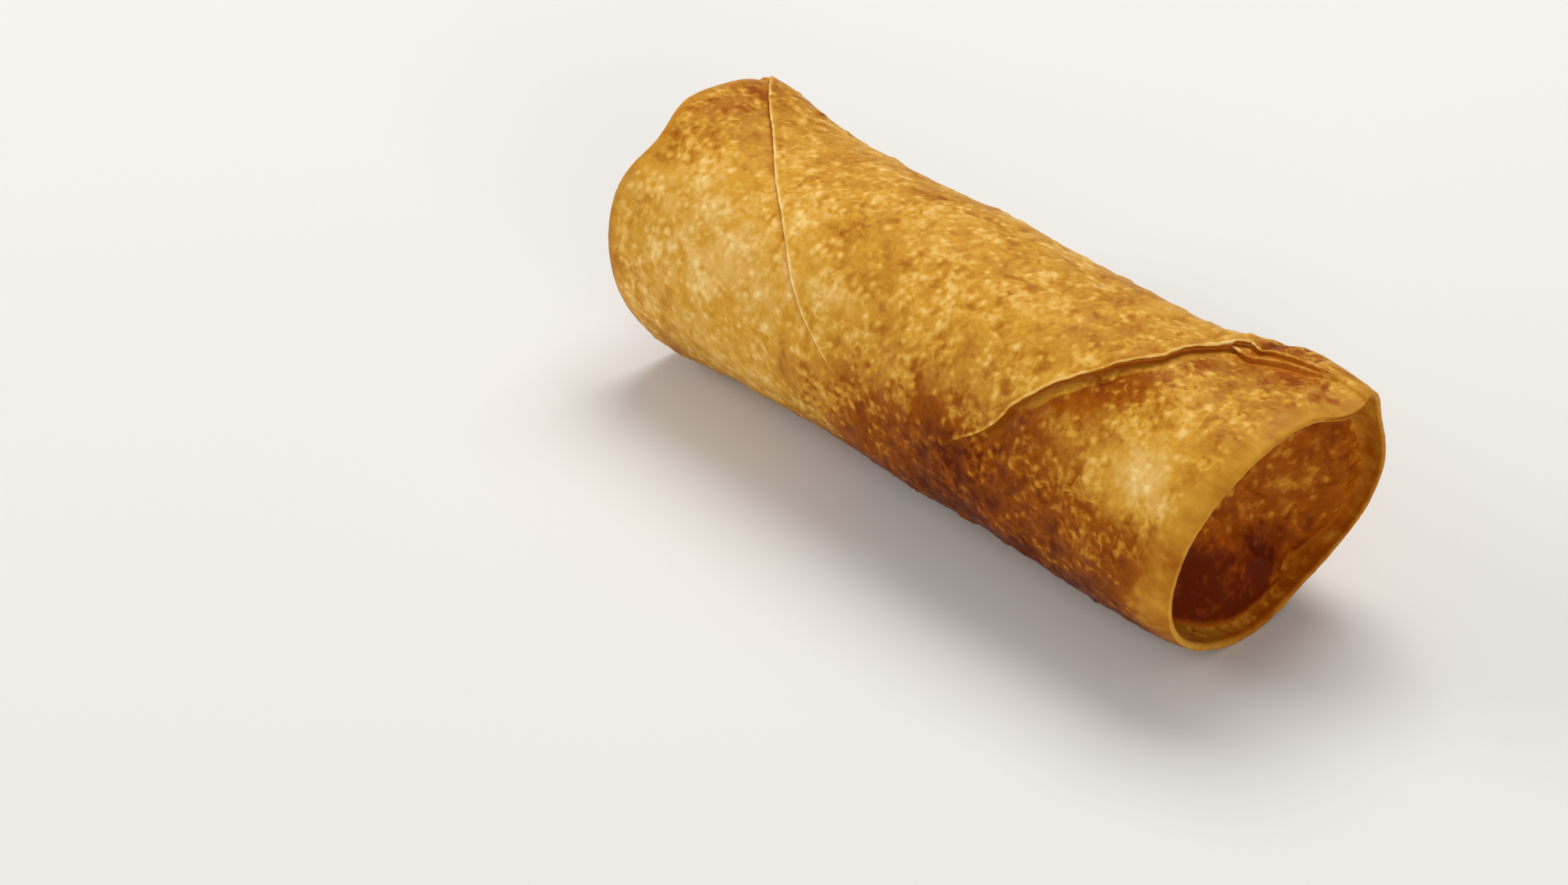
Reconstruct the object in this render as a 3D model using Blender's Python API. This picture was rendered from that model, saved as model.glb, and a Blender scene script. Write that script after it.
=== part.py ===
"""A fried spring roll, whole and uncut, lying on its side.

One square sheet of pastry is rolled round the filling like an envelope. Its last corner is the outer
flap, a triangle whose two cut edges run skew over the top and fade out where they are pasted down.
The sides of the sheet are folded in, so each end is a short open tube with a folded rim, and the
tucked-in pastry closes it further in. At the top of the wide end the folded-in side, the collar, ends
in two stepped layers.

The skin is one closed surface. Its rows run round the roll and its columns run along it, from the
middle of one end hollow, over that rim, across the outside and into the other hollow. The columns
follow the two cut edges of the flap and the rows follow the layers of the collar, so all are crisp.

Frame: +X runs along the roll to its wide open end, +Y is the back, +Z is up, and the roll rests on
z = 0. A turn angle is in degrees, from the back (0) over the top (90) to the front (180) and on
underneath. A level is a height over the layer that the flap lies on.
"""

import math
from collections import namedtuple

import bmesh
import bpy
import numpy as np

MM = 0.001
FULL_TURN = 360.0

# A soft swelling or hollow of the section: the turn of its middle, its spread in degrees, its height
Swell = namedtuple("Swell", "turn spread height")

# The body of the roll, pressed flat where it rests and a little slimmer at its low front
HALF_LENGTH = 60.0 * MM
HALF_WIDTH = 21.4 * MM
HALF_HEIGHT = 20.1 * MM
SQUARENESS = 2.02
REST_DEPTH = 0.7 * MM
WAIST = Swell(226.0, 34.0, -0.8 * MM)
WAIST_X = -12.0 * MM
WAIST_LENGTH = 26.0 * MM

# The wide end: a pinched corner at the top of its back, a pressed top and a cut-away lower back
NEAR_SWELLS = (
    Swell(46.0, 9.5, 2.4 * MM),
    Swell(84.0, 16.0, -0.5 * MM),
    Swell(-46.0, 24.0, -1.3 * MM),
)
NEAR_REACH = (36.0 * MM, 52.0 * MM)

# The narrow end: an ear at the top of its back, a cut-away lower back, and a dip before the ear
FAR_SWELLS = (
    Swell(52.0, 15.0, 1.9 * MM),
    Swell(94.0, 14.0, 0.8 * MM),
    Swell(-50.0, 30.0, -1.6 * MM),
)
FAR_REACH = (40.0 * MM, 60.0 * MM)
EAR_DIP = Swell(60.0, 28.0, -0.9 * MM)
EAR_DIP_X = -41.0 * MM
EAR_DIP_LENGTH = 9.0 * MM

# The rims lean out at the top and are a little wavy; one has a point, the other a shallow bay
RIM_LEAN = 3.1 * MM
RIM_WAVE = 0.35 * MM
NEAR_RIM_POINT = Swell(60.0, 10.0, 2.2 * MM)
FAR_RIM_BAY = Swell(122.0, 12.0, -2.2 * MM)
FOLD_RADIUS = 1.5 * MM

# The pastry sheet, and where round the roll the flap starts, is pasted down and has sunk in
SHEET = 0.8 * MM
FLAP_START = 52.0
FLAP_SEALED = (160.0, 176.0)
FLAP_SUNK = 190.0

# The flap's far edge: its distance from the rim, and its pitch along the roll for each degree
FAR_EDGE_START = 0.4 * MM
FAR_EDGE_PITCH = 0.446 * MM
FAR_EDGE_WAVE = 0.25 * MM

# The flap's near edge: where it crosses the top, its pitch there, the pitch it gains further down,
# its waves, and where it bows out
NEAR_EDGE_X = 43.6 * MM
NEAR_EDGE_TURN = 60.0
NEAR_EDGE_PITCH = 0.09 * MM
SKEW_PITCH = 0.22 * MM
SKEW_TURN = 98.0
SKEW_BEND = 5.0
NEAR_EDGE_WAVE = 0.12 * MM
NEAR_EDGE_BAYS = (
    Swell(58.0, 3.6, 3.2 * MM),
    Swell(100.0, 4.0, 0.9 * MM),
    Swell(155.0, 5.5, 1.5 * MM),
)

# How far the cut edges stand up from the layer below, and how far one can see in under them
LIFT = 0.25 * MM
FAR_LIFT = 0.14 * MM
NEAR_LIFT = Swell(102.0, 24.0, 0.3 * MM)
UNDERCUT = 0.8 * MM
UNDERCUT_GAP = 0.13 * MM
LIP_REACH = 1.6 * MM
LIP_FOOT = 1.3 * MM
LIP_HALF_WIDTH = 0.9 * MM

# The collar: its layers' edges start at these turns and draw together at the rim's corner
COLLAR_SHEET = 0.9 * MM
COLLAR_START = 44.5 * MM
COLLAR_BULGE_START = 34.0 * MM
COLLAR_EDGES = (62.0, 67.5)
COLLAR_THINS = (-60.0, 10.0)
COLLAR_DRAW = Swell(74.0, 16.0, 10.0)
COLLAR_DRAW_END = 62.0 * MM
COLLAR_SQUEEZE = Swell(70.0, 4.6, 4.4)
COLLAR_SQUEEZE_END = 53.0 * MM

# The end hollows: the middle of each floor, the floor's depth at the front and at the back, how far
# the wide end's floor comes forward at its foot, how far the wall leans in, and the creases and dents
# of the tucked-in pastry
NEAR_MIDDLE = (-1.0 * MM, -0.5 * MM)
NEAR_DEPTHS = (15.0 * MM, 5.0 * MM)
NEAR_FOOT_RISE = 5.0 * MM
FOOT_RISE_DOWN = (-2.0 * MM, -16.0 * MM)
FOOT_RISE_BACK = (12.0 * MM, 2.0 * MM)
FAR_MIDDLE = (1.5 * MM, 1.0 * MM)
FAR_DEPTHS = (10.0 * MM, 8.0 * MM)
WALL_DRAFT = 0.05
CREASE_RISE = 1.3 * MM
CREASE_WIDTH = 2.2 * MM
CREASE_OFFSET = 4.0 * MM
DENT_DEPTH = 0.5 * MM

# Soft bulges of the crust, drawn from a fixed seed
BULGES = 46
BULGE_SEED = 11
BULGE_HEIGHT = 0.42 * MM
BULGE_SPREAD = (2.6 * MM, 5.5 * MM)

# The resolution of the skin: each run of rows has its first and last turn and its number of rows
EDGE_GAP = 0.5
ROW_RUNS = (
    (FLAP_START, COLLAR_EDGES[0], 6),
    (COLLAR_EDGES[0] + EDGE_GAP, COLLAR_EDGES[1], 3),
    (COLLAR_EDGES[1] + EDGE_GAP, 384.0, 64),
    (388.0, FULL_TURN + FLAP_START - 2.6, 9),
)
OUTSIDE_COLUMNS = 7
FLAP_COLUMNS = 11
WALL_RINGS = 3
FLOOR_RINGS = 5
FOLD_COLUMNS = 5

CRUST_COLOUR = (0.58, 0.30, 0.075, 1.0)
CRUST_ROUGHNESS = 0.42
SHARP_ANGLE = 50.0


def smooth(low, high, value):
    """0 below low, 1 above high, and an S curve between."""
    share = np.clip((value - low) / (high - low), 0.0, 1.0)
    return share * share * (3.0 - 2.0 * share)


def mix(first, second, share):
    """first where share is 0 and second where it is 1."""
    return first + (second - first) * share


def turn_away(turn, centre):
    """The angle from centre to turn, the short way round."""
    return (turn - centre + 0.5 * FULL_TURN) % FULL_TURN - 0.5 * FULL_TURN


def swell(turn, shape):
    """Height of a swelling at a turn angle, as a bell round its middle."""
    return shape.height * np.exp(-0.5 * (turn_away(turn, shape.turn) / shape.spread) ** 2)


def bulge_table():
    """Station, turn, spread and height of each soft bulge of the crust."""
    draw = np.random.RandomState(BULGE_SEED)
    stations = draw.uniform(-0.95, 0.95, BULGES) * HALF_LENGTH
    turns = draw.uniform(0.0, FULL_TURN, BULGES)
    spreads = draw.uniform(*BULGE_SPREAD, BULGES)
    heights = draw.uniform(-0.6, 1.0, BULGES) * BULGE_HEIGHT
    return stations, turns, spreads, heights


def crust_relief(x, turn):
    """The uneven crust: a few long waves and many soft bulges."""
    relief = 0.22 * MM * np.sin(x / (7.5 * MM) + np.radians(2.0 * turn))
    relief += 0.16 * MM * np.sin(x / (4.6 * MM) - np.radians(5.0 * turn) + 1.3)
    for station, centre, spread, height in zip(*bulge_table()):
        along = (x - station) / spread
        across = np.radians(turn_away(turn, centre)) * HALF_WIDTH / spread
        relief = relief + height * np.exp(-0.5 * (along**2 + across**2))
    return relief


def section_radius(x, turn):
    """Radius of the layer under the flap, from the roll's middle line."""
    angle = np.radians(turn)
    across = np.abs(np.cos(angle) / HALF_WIDTH) ** SQUARENESS
    upward = np.abs(np.sin(angle) / HALF_HEIGHT) ** SQUARENESS
    radius = (across + upward) ** (-1.0 / SQUARENESS)
    radius = radius + smooth(*NEAR_REACH, x) * sum(swell(turn, shape) for shape in NEAR_SWELLS)
    radius = radius + smooth(*FAR_REACH, -x) * sum(swell(turn, shape) for shape in FAR_SWELLS)
    dip = swell(turn, EAR_DIP) * np.exp(-0.5 * ((x - EAR_DIP_X) / EAR_DIP_LENGTH) ** 2)
    waist = swell(turn, WAIST) * np.exp(-0.5 * ((x - WAIST_X) / WAIST_LENGTH) ** 2)
    return radius + dip + waist + crust_relief(x, turn)


def rim_station(turn, side):
    """X of a rim: side is 1 at the wide end and -1 at the narrow end."""
    lean = RIM_LEAN * np.sin(np.radians(turn))
    wave = RIM_WAVE * np.sin(np.radians(3.0 * turn) + side)
    return side * (HALF_LENGTH + lean + wave + swell(turn, NEAR_RIM_POINT if side > 0 else FAR_RIM_BAY))


def far_edge(turn):
    """X of the flap's cut edge on the far side, one nearly straight skew line."""
    start = rim_station(FLAP_START, -1) + FAR_EDGE_START
    return start + FAR_EDGE_PITCH * (turn - FLAP_START) + FAR_EDGE_WAVE * np.sin(np.radians(9.0 * turn))


def near_edge(turn):
    """X of the flap's cut edge on the near side. It crosses the top nearly square to the roll, and
    then goes skew."""
    over_top = NEAR_EDGE_X - NEAR_EDGE_PITCH * (turn - NEAR_EDGE_TURN)
    skew = SKEW_PITCH * SKEW_BEND * np.log1p(np.exp((turn - SKEW_TURN) / SKEW_BEND))
    wave = NEAR_EDGE_WAVE * np.sin(np.radians(16.0 * turn))
    return over_top - skew + wave + sum(swell(turn, bay) for bay in NEAR_EDGE_BAYS)


def column_guides(turn):
    """The x that the columns beside each edge follow: the edge itself along the flap, and a smooth
    way back under the roll."""
    last = FLAP_SEALED[1]
    back = smooth(last, FULL_TURN + FLAP_START, turn)
    guides = []
    for edge, start in ((far_edge, FLAP_START), (near_edge, COLLAR_EDGES[0])):
        along = edge(np.clip(turn, start, last))
        guides.append(np.where(turn <= last, along, mix(edge(last), edge(start), back)))
    inner_limit = rim_station(turn, -1) + FOLD_RADIUS + LIP_FOOT
    return np.maximum(guides[0], inner_limit), guides[1]


def lip_share(turn, start, ramp):
    """How open a cut edge of the flap is: 1 along it, and 0 where it is pasted down or absent."""
    return smooth(start, start + ramp, turn) * (1.0 - smooth(*FLAP_SEALED, turn))


def back_turn(turn):
    """The turn angle, counted so that the lower back of the roll is below zero."""
    return np.where(turn > 250.0, turn - FULL_TURN, turn)


def climb(turn):
    """Share of one sheet that the outermost layer has climbed since the flap sank in."""
    return np.clip((turn - FLAP_SUNK) / (FULL_TURN + FLAP_START - FLAP_SUNK), 0.0, 1.0)


def collar_level(turn):
    """Level of the wide end outside the flap: the outer sheet on the collar, then the collar alone,
    then the layer below, with a step at each edge."""
    angle = back_turn(turn)
    outer = np.where(turn > FLAP_SUNK, climb(turn), angle <= COLLAR_EDGES[0])
    collar = (angle <= COLLAR_EDGES[1]) * smooth(*COLLAR_THINS, angle)
    return SHEET * outer + COLLAR_SHEET * collar


def collar_bulge(x, turn):
    """How far the collar lifts the flap that lies over it."""
    angle = back_turn(turn)
    fading = 1.0 - smooth(COLLAR_EDGES[0], COLLAR_EDGES[1] + 10.0, angle)
    return COLLAR_SHEET * smooth(COLLAR_BULGE_START, COLLAR_START, x) * fading * smooth(*COLLAR_THINS, angle)


def outer_level(x, turn):
    """Level of the outermost sheet, which climbs by its own thickness in one turn."""
    on_flap = 1.0 - smooth(FLAP_SEALED[0], FLAP_SUNK, turn)
    return SHEET * np.maximum(on_flap, climb(turn)) + collar_bulge(x, turn)


def rim_level(turn, side):
    """Level of a rim. At the narrow end it steps down one sheet where the flap's edge crosses it."""
    if side > 0:
        return collar_level(turn)
    covered = 1.0 - smooth(FLAP_START + 0.6, FLAP_START + 3.4, turn) * (turn < FLAP_SUNK)
    return outer_level(rim_station(turn, side), turn) * covered


def drawn_turn(x, turn):
    """The turn angle of a row at x: towards the wide end's rim the rows draw together at its corner."""
    squeezed = smooth(COLLAR_START, COLLAR_SQUEEZE_END, x) * swell(turn, COLLAR_SQUEEZE)
    return turn - smooth(COLLAR_START, COLLAR_DRAW_END, x) * swell(turn, COLLAR_DRAW) - squeezed


class Skin:
    """Collects the columns of the surface, each with one point a row."""

    def __init__(self, turns):
        self.turns = turns
        self.columns = []

    def add(self, x, turn, level):
        """Adds a column on the outside, at a level over the layer under the flap."""
        turn = drawn_turn(x, turn)
        radius = section_radius(x, turn) + level
        angle = np.radians(turn)
        self.place(x, radius * np.cos(angle), radius * np.sin(angle))

    def place(self, x, y, z):
        """Adds a column by its place, with z from the roll's middle line, and flattens its foot."""
        height = np.maximum(z + HALF_HEIGHT - REST_DEPTH, 0.0)
        self.columns.append(np.stack([np.broadcast_to(x, self.turns.shape), y, height], axis=-1))

    def add_band(self, first, last, count):
        """Adds the columns between two known ones, given as x, turn and level."""
        for step in range(1, count):
            self.add(*(mix(a, b, step / count) for a, b in zip(first, last)))

    def add_flap(self, first, last, count):
        """Adds the columns between the two lips, which follow the outermost sheet."""
        for step in range(1, count):
            share = step / count
            x, turn, level = (mix(a, b, share) for a, b in zip(first, last))
            self.add(x, turn, mix(level, outer_level(x, turn), math.sqrt(math.sin(math.pi * share))))

    def add_hollow(self, side, middle, depths, foot_rise=0.0):
        """Adds an end hollow: round the folded rim, down the wall, and over the tucked-in pastry.
        depths are those of its floor at the front and at the back, and foot_rise is how far the
        floor comes forward at its foot."""
        turn = drawn_turn(side * HALF_LENGTH, self.turns)
        angle = np.radians(turn)
        start_x = rim_station(turn, side) - side * FOLD_RADIUS
        outer = section_radius(start_x, turn) + rim_level(self.turns, side)
        for step in range(1, FOLD_COLUMNS):
            bend = math.pi * step / FOLD_COLUMNS
            radius = outer - FOLD_RADIUS * (1.0 - math.cos(bend))
            x = start_x + side * FOLD_RADIUS * math.sin(bend)
            self.place(x, radius * np.cos(angle), radius * np.sin(angle))
        inner = outer - 2.0 * FOLD_RADIUS
        for share, height in hollow_rings():
            y = mix(middle[0], inner * np.cos(angle), share)
            z = mix(middle[1], inner * np.sin(angle), share)
            forward = foot_rise * smooth(*FOOT_RISE_DOWN, z) * smooth(*FOOT_RISE_BACK, y)
            depth = mix(*depths, 0.5 + 0.5 * y / HALF_WIDTH) - forward + tuck_relief(y, z)
            self.place(mix(side * (HALF_LENGTH - depth), start_x, height), y, z)


def hollow_rings():
    """The rings of an end hollow, as share of the mouth's width and share of the wall's height."""
    steps = [k / WALL_RINGS for k in range(WALL_RINGS)]
    wall = [(1.0 - WALL_DRAFT * step**2, 1.0 - step) for step in steps]
    floor = [((1.0 - WALL_DRAFT) * (1.0 - k / FLOOR_RINGS), 0.0) for k in range(FLOOR_RINGS)]
    return wall + floor


def tuck_relief(y, z):
    """Extra depth of a hollow's floor: one raised crease across it and soft dents."""
    crease = np.exp(-0.5 * ((0.8 * y + 0.6 * z + CREASE_OFFSET) / CREASE_WIDTH) ** 2)
    dents = np.sin(y / (3.6 * MM) + 1.0) * np.sin(z / (4.4 * MM))
    return DENT_DEPTH * dents - CREASE_RISE * crease


def lip_profile(lift, sheet):
    """Offset from the cut edge, outwards, and height over the layer below, from the flap's top round
    its cut edge, in under it and out again."""
    inwards = UNDERCUT * (0.08 + 0.92 * smooth(FAR_LIFT, LIFT, lift))
    return (
        (-LIP_REACH, sheet + 0.5 * lift),
        (-0.25 * MM, sheet + lift),
        (0.1 * MM, 0.5 * sheet + lift),
        (-0.15 * MM, lift),
        (-0.15 * MM - inwards, UNDERCUT_GAP),
        (0.1 * MM, 0.0),
        (LIP_FOOT, 0.0),
    )


def lip_columns(turns, edge, guide, share, profile, grounds):
    """The columns of one cut edge of the flap as x, turn and level, in order from the flap outwards.

    share says how open the edge is. grounds are the levels of the layer below the flap and outside
    it, and of the shut surface on the flap and outside it."""
    side, start = (-1, FLAP_START) if edge is far_edge else (1, COLLAR_EDGES[0])
    step_turn = 0.25
    at = np.clip(turns, start + 0.8, FLAP_SEALED[1])
    rise = edge(at + step_turn) - edge(at - step_turn)
    slope = rise / (2.0 * math.radians(step_turn) * HALF_WIDTH)
    norm = np.hypot(1.0, slope)
    out_turn = np.degrees(-side * slope / norm / HALF_WIDTH) * smooth(start, start + 12.0, turns)
    spread = np.linspace(-LIP_HALF_WIDTH, LIP_HALF_WIDTH, len(profile))
    columns = []
    for number, (offset, height) in enumerate(profile):
        under = mix(grounds[0], grounds[1], smooth(2, 5, number))
        shut = mix(grounds[2], grounds[3], smooth(1, 5, number))
        x = guide + side * mix(spread[number], offset / norm, share)
        columns.append((x, turns + share * out_turn * offset, mix(shut, height + under, share)))
    return columns


def far_lip(turns, guide):
    """The columns of the flap's far cut edge, where the sheet lies close and thins to its tip."""
    lift = mix(LIFT, FAR_LIFT, smooth(70.0, 115.0, turns))
    sheet = SHEET * mix(1.0, 0.55, smooth(60.0, 110.0, turns))
    top = outer_level(guide, turns)
    bare = np.zeros_like(turns)
    share = lip_share(turns, FLAP_START, 1.6)
    return lip_columns(turns, far_edge, guide, share, lip_profile(lift, sheet), (bare, bare, top, top))


def near_lip(turns, guide):
    """The columns of the flap's near cut edge, which stands up most half way down."""
    below = collar_level(turns)
    grounds = (collar_bulge(guide, turns), below, outer_level(guide, turns), below)
    share = lip_share(turns, COLLAR_EDGES[0], 1.2)
    profile = lip_profile(LIFT + swell(turns, NEAR_LIFT), SHEET)
    return lip_columns(turns, near_edge, guide, share, profile, grounds)


def rim_point(turns, side):
    """Where the outside meets the fold of a rim: its x, turn and level."""
    actual = drawn_turn(side * HALF_LENGTH, turns)
    return rim_station(actual, side) - side * FOLD_RADIUS, turns, rim_level(turns, side)


def skin_columns():
    """Every column of the skin, from the middle of the far hollow to the middle of the near one."""
    turns = np.concatenate([np.linspace(*run) for run in ROW_RUNS])
    far_guide, near_guide = column_guides(turns)
    far = far_lip(turns, far_guide)[::-1]
    near = near_lip(turns, near_guide)

    far_half = Skin(turns)
    far_half.add_hollow(-1, FAR_MIDDLE, FAR_DEPTHS)
    skin = Skin(turns)
    skin.columns = far_half.columns[::-1]
    skin.add(*rim_point(turns, -1))
    skin.add_band(rim_point(turns, -1), far[0], OUTSIDE_COLUMNS)
    for column in far:
        skin.add(*column)
    skin.add_flap(far[-1], near[0], FLAP_COLUMNS)
    for column in near:
        skin.add(*column)
    skin.add_band(near[-1], rim_point(turns, 1), OUTSIDE_COLUMNS)
    skin.add(*rim_point(turns, 1))
    skin.add_hollow(1, NEAR_MIDDLE, NEAR_DEPTHS, NEAR_FOOT_RISE)
    return skin.columns


def centred(columns):
    """The columns moved so that the roll's box stands with the middle of its base on the origin."""
    points = np.concatenate(columns)
    middle = 0.5 * (points.min(axis=0) + points.max(axis=0))
    middle[2] = 0.0
    return [column - middle for column in columns]


def skin_mesh(name):
    """The closed skin as a mesh: quads between the columns, and a fan of triangles in the middle of
    each hollow, where the first and the last column shrink to one point."""
    first, *between, last = centred(skin_columns())
    build = bmesh.new()
    far_middle = build.verts.new(first.mean(axis=0))
    near_middle = build.verts.new(last.mean(axis=0))
    columns = [[build.verts.new(point) for point in column] for column in between]
    rows = len(between[0])
    for row in range(rows):
        following = (row + 1) % rows
        build.faces.new((far_middle, columns[0][row], columns[0][following]))
        for left, right in zip(columns, columns[1:]):
            build.faces.new((left[row], right[row], right[following], left[following]))
        build.faces.new((columns[-1][row], near_middle, columns[-1][following]))
    bmesh.ops.recalc_face_normals(build, faces=build.faces)
    mesh = bpy.data.meshes.new(name)
    build.to_mesh(mesh)
    build.free()
    return mesh


def crust_material():
    """Golden fried pastry with a slight oily shine."""
    material = bpy.data.materials.new("fried_crust")
    material.use_nodes = True
    shader = material.node_tree.nodes["Principled BSDF"]
    shader.inputs["Base Color"].default_value = CRUST_COLOUR
    shader.inputs["Roughness"].default_value = CRUST_ROUGHNESS
    shader.inputs["Metallic"].default_value = 0.0
    return material


def clear_scene():
    """Removes whatever the open file holds."""
    for thing in list(bpy.data.objects):
        bpy.data.objects.remove(thing)


def main():
    """Builds the roll as one solid, smooth but for the cut edges of its sheets."""
    clear_scene()
    mesh = skin_mesh("spring_roll")
    mesh.shade_smooth()
    mesh.set_sharp_from_angle(angle=math.radians(SHARP_ANGLE))
    mesh.materials.append(crust_material())
    roll = bpy.data.objects.new("spring_roll", mesh)
    bpy.context.scene.collection.objects.link(roll)


main()
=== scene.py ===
"""Looks of a fried spring roll: its wound pastry, its crisp finish, and the plain stage that it lies on.

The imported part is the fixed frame. The roll here repeats the part's own sizes and formulas, with thin
cut edges, blisters and fine wrinkles that a plain solid doesn't have.

Frame: +X runs along the roll to its wide open end, +Y is the back, +Z is up, in metres. A turn angle is
in degrees, from the back (0) over the top (90) to the front (180) and on underneath. A level is a height
over the layer that the flap lies on.
"""

import logging
import math
from dataclasses import dataclass
from enum import Enum
from typing import Any, ClassVar

import bpy
import numpy as np
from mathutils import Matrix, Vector


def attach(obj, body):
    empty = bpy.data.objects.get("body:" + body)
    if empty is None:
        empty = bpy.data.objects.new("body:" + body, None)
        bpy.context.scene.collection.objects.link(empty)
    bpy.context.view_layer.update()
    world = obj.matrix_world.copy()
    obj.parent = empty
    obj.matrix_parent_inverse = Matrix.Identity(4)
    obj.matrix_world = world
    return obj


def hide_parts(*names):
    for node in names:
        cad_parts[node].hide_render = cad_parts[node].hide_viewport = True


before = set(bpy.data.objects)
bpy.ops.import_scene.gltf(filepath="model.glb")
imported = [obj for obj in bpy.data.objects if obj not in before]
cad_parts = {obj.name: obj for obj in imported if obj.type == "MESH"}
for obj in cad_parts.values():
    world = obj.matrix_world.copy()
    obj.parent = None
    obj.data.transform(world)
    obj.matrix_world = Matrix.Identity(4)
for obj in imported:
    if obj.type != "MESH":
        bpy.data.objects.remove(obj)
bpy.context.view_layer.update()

MM = 0.001
FULL_TURN = 360.0
BACK_SEAM = 250.0
BODY = "root"
NODE = "spring_roll"

Colour = tuple[float, float, float]
Span = tuple[float, float]
Noise = tuple[float, ...]

log = logging.getLogger("spring_roll")


def smooth(low: float, high: float, value: Any) -> Any:
    """0 below low, 1 above high, and an S curve between."""
    share = np.clip((value - low) / (high - low), 0.0, 1.0)
    return share * share * (3.0 - 2.0 * share)


def mix(first: Any, second: Any, share: Any) -> Any:
    """first where share is 0 and second where it is 1."""
    return first + (second - first) * share


def bell(value: Any, middle: float, spread: float) -> Any:
    """1 at the middle, falling off on both sides as a bell."""
    return np.exp(-0.5 * ((value - middle) / spread) ** 2)


def turn_away(turn: Any, centre: float) -> Any:
    """The angle from centre to turn, the short way round."""
    return (turn - centre + 0.5 * FULL_TURN) % FULL_TURN - 0.5 * FULL_TURN


def back_turn(turn: Any) -> Any:
    """The turn angle, counted so that the lower back of the roll is below zero."""
    return np.where(turn > BACK_SEAM, turn - FULL_TURN, turn)


class End(Enum):
    """The two ends of the roll, as the sign of their x."""

    NARROW = -1
    WIDE = 1


class Mark(Enum):
    """What a point of the pastry's surface is marked with, for the relief and the finish."""

    COVER = "cover"
    RIM = "rim"
    # Painted shade in the hollows of the ends, darker and redder further in.
    INSIDE = "inside"
    # Painted highlight along the cut edges of the flap and of the collar's layers.
    CUT = "cut"
    # Painted shade in the seams: in under the cut edges' overhangs, on the ground before them, and in
    # the gaps and slit where layers meet.
    SEAM = "seam"
    # Browning of the crust, with painted shade mixed in low at the front, beside the flap's lip, on the
    # hollows' walls and in the tucked caps.
    TOAST = "toast"


@dataclass(frozen=True)
class Swell:
    """A soft swelling or hollow of the section: its turn, its spread in degrees and its height."""

    turn: float
    spread: float
    height: float

    def at(self, turn: Any) -> Any:
        """Height at a turn angle, as a bell round the middle."""
        return self.height * bell(turn_away(turn, self.turn), 0.0, self.spread)


@dataclass(frozen=True)
class Patch:
    """A soft patch of the surface: its middle, its spread both ways, and its strength there."""

    turn: float
    turn_spread: float
    x: float
    x_spread: float
    strength: float

    def at(self, x: Any, turn: Any) -> Any:
        """How strong the patch is at a place."""
        across = bell(turn_away(turn, self.turn), 0.0, self.turn_spread)
        return self.strength * bell(x, self.x, self.x_spread) * across


@dataclass(frozen=True)
class Wave:
    """A long wave of the crust: its height, its length, how often it winds round and its phase."""

    height: float
    length: float
    winds: float
    phase: float = 0.0

    def at(self, x: Any, turn: Any) -> Any:
        """Height of the wave at a place."""
        return self.height * np.sin(x / self.length + np.radians(self.winds * turn) + self.phase)


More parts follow.
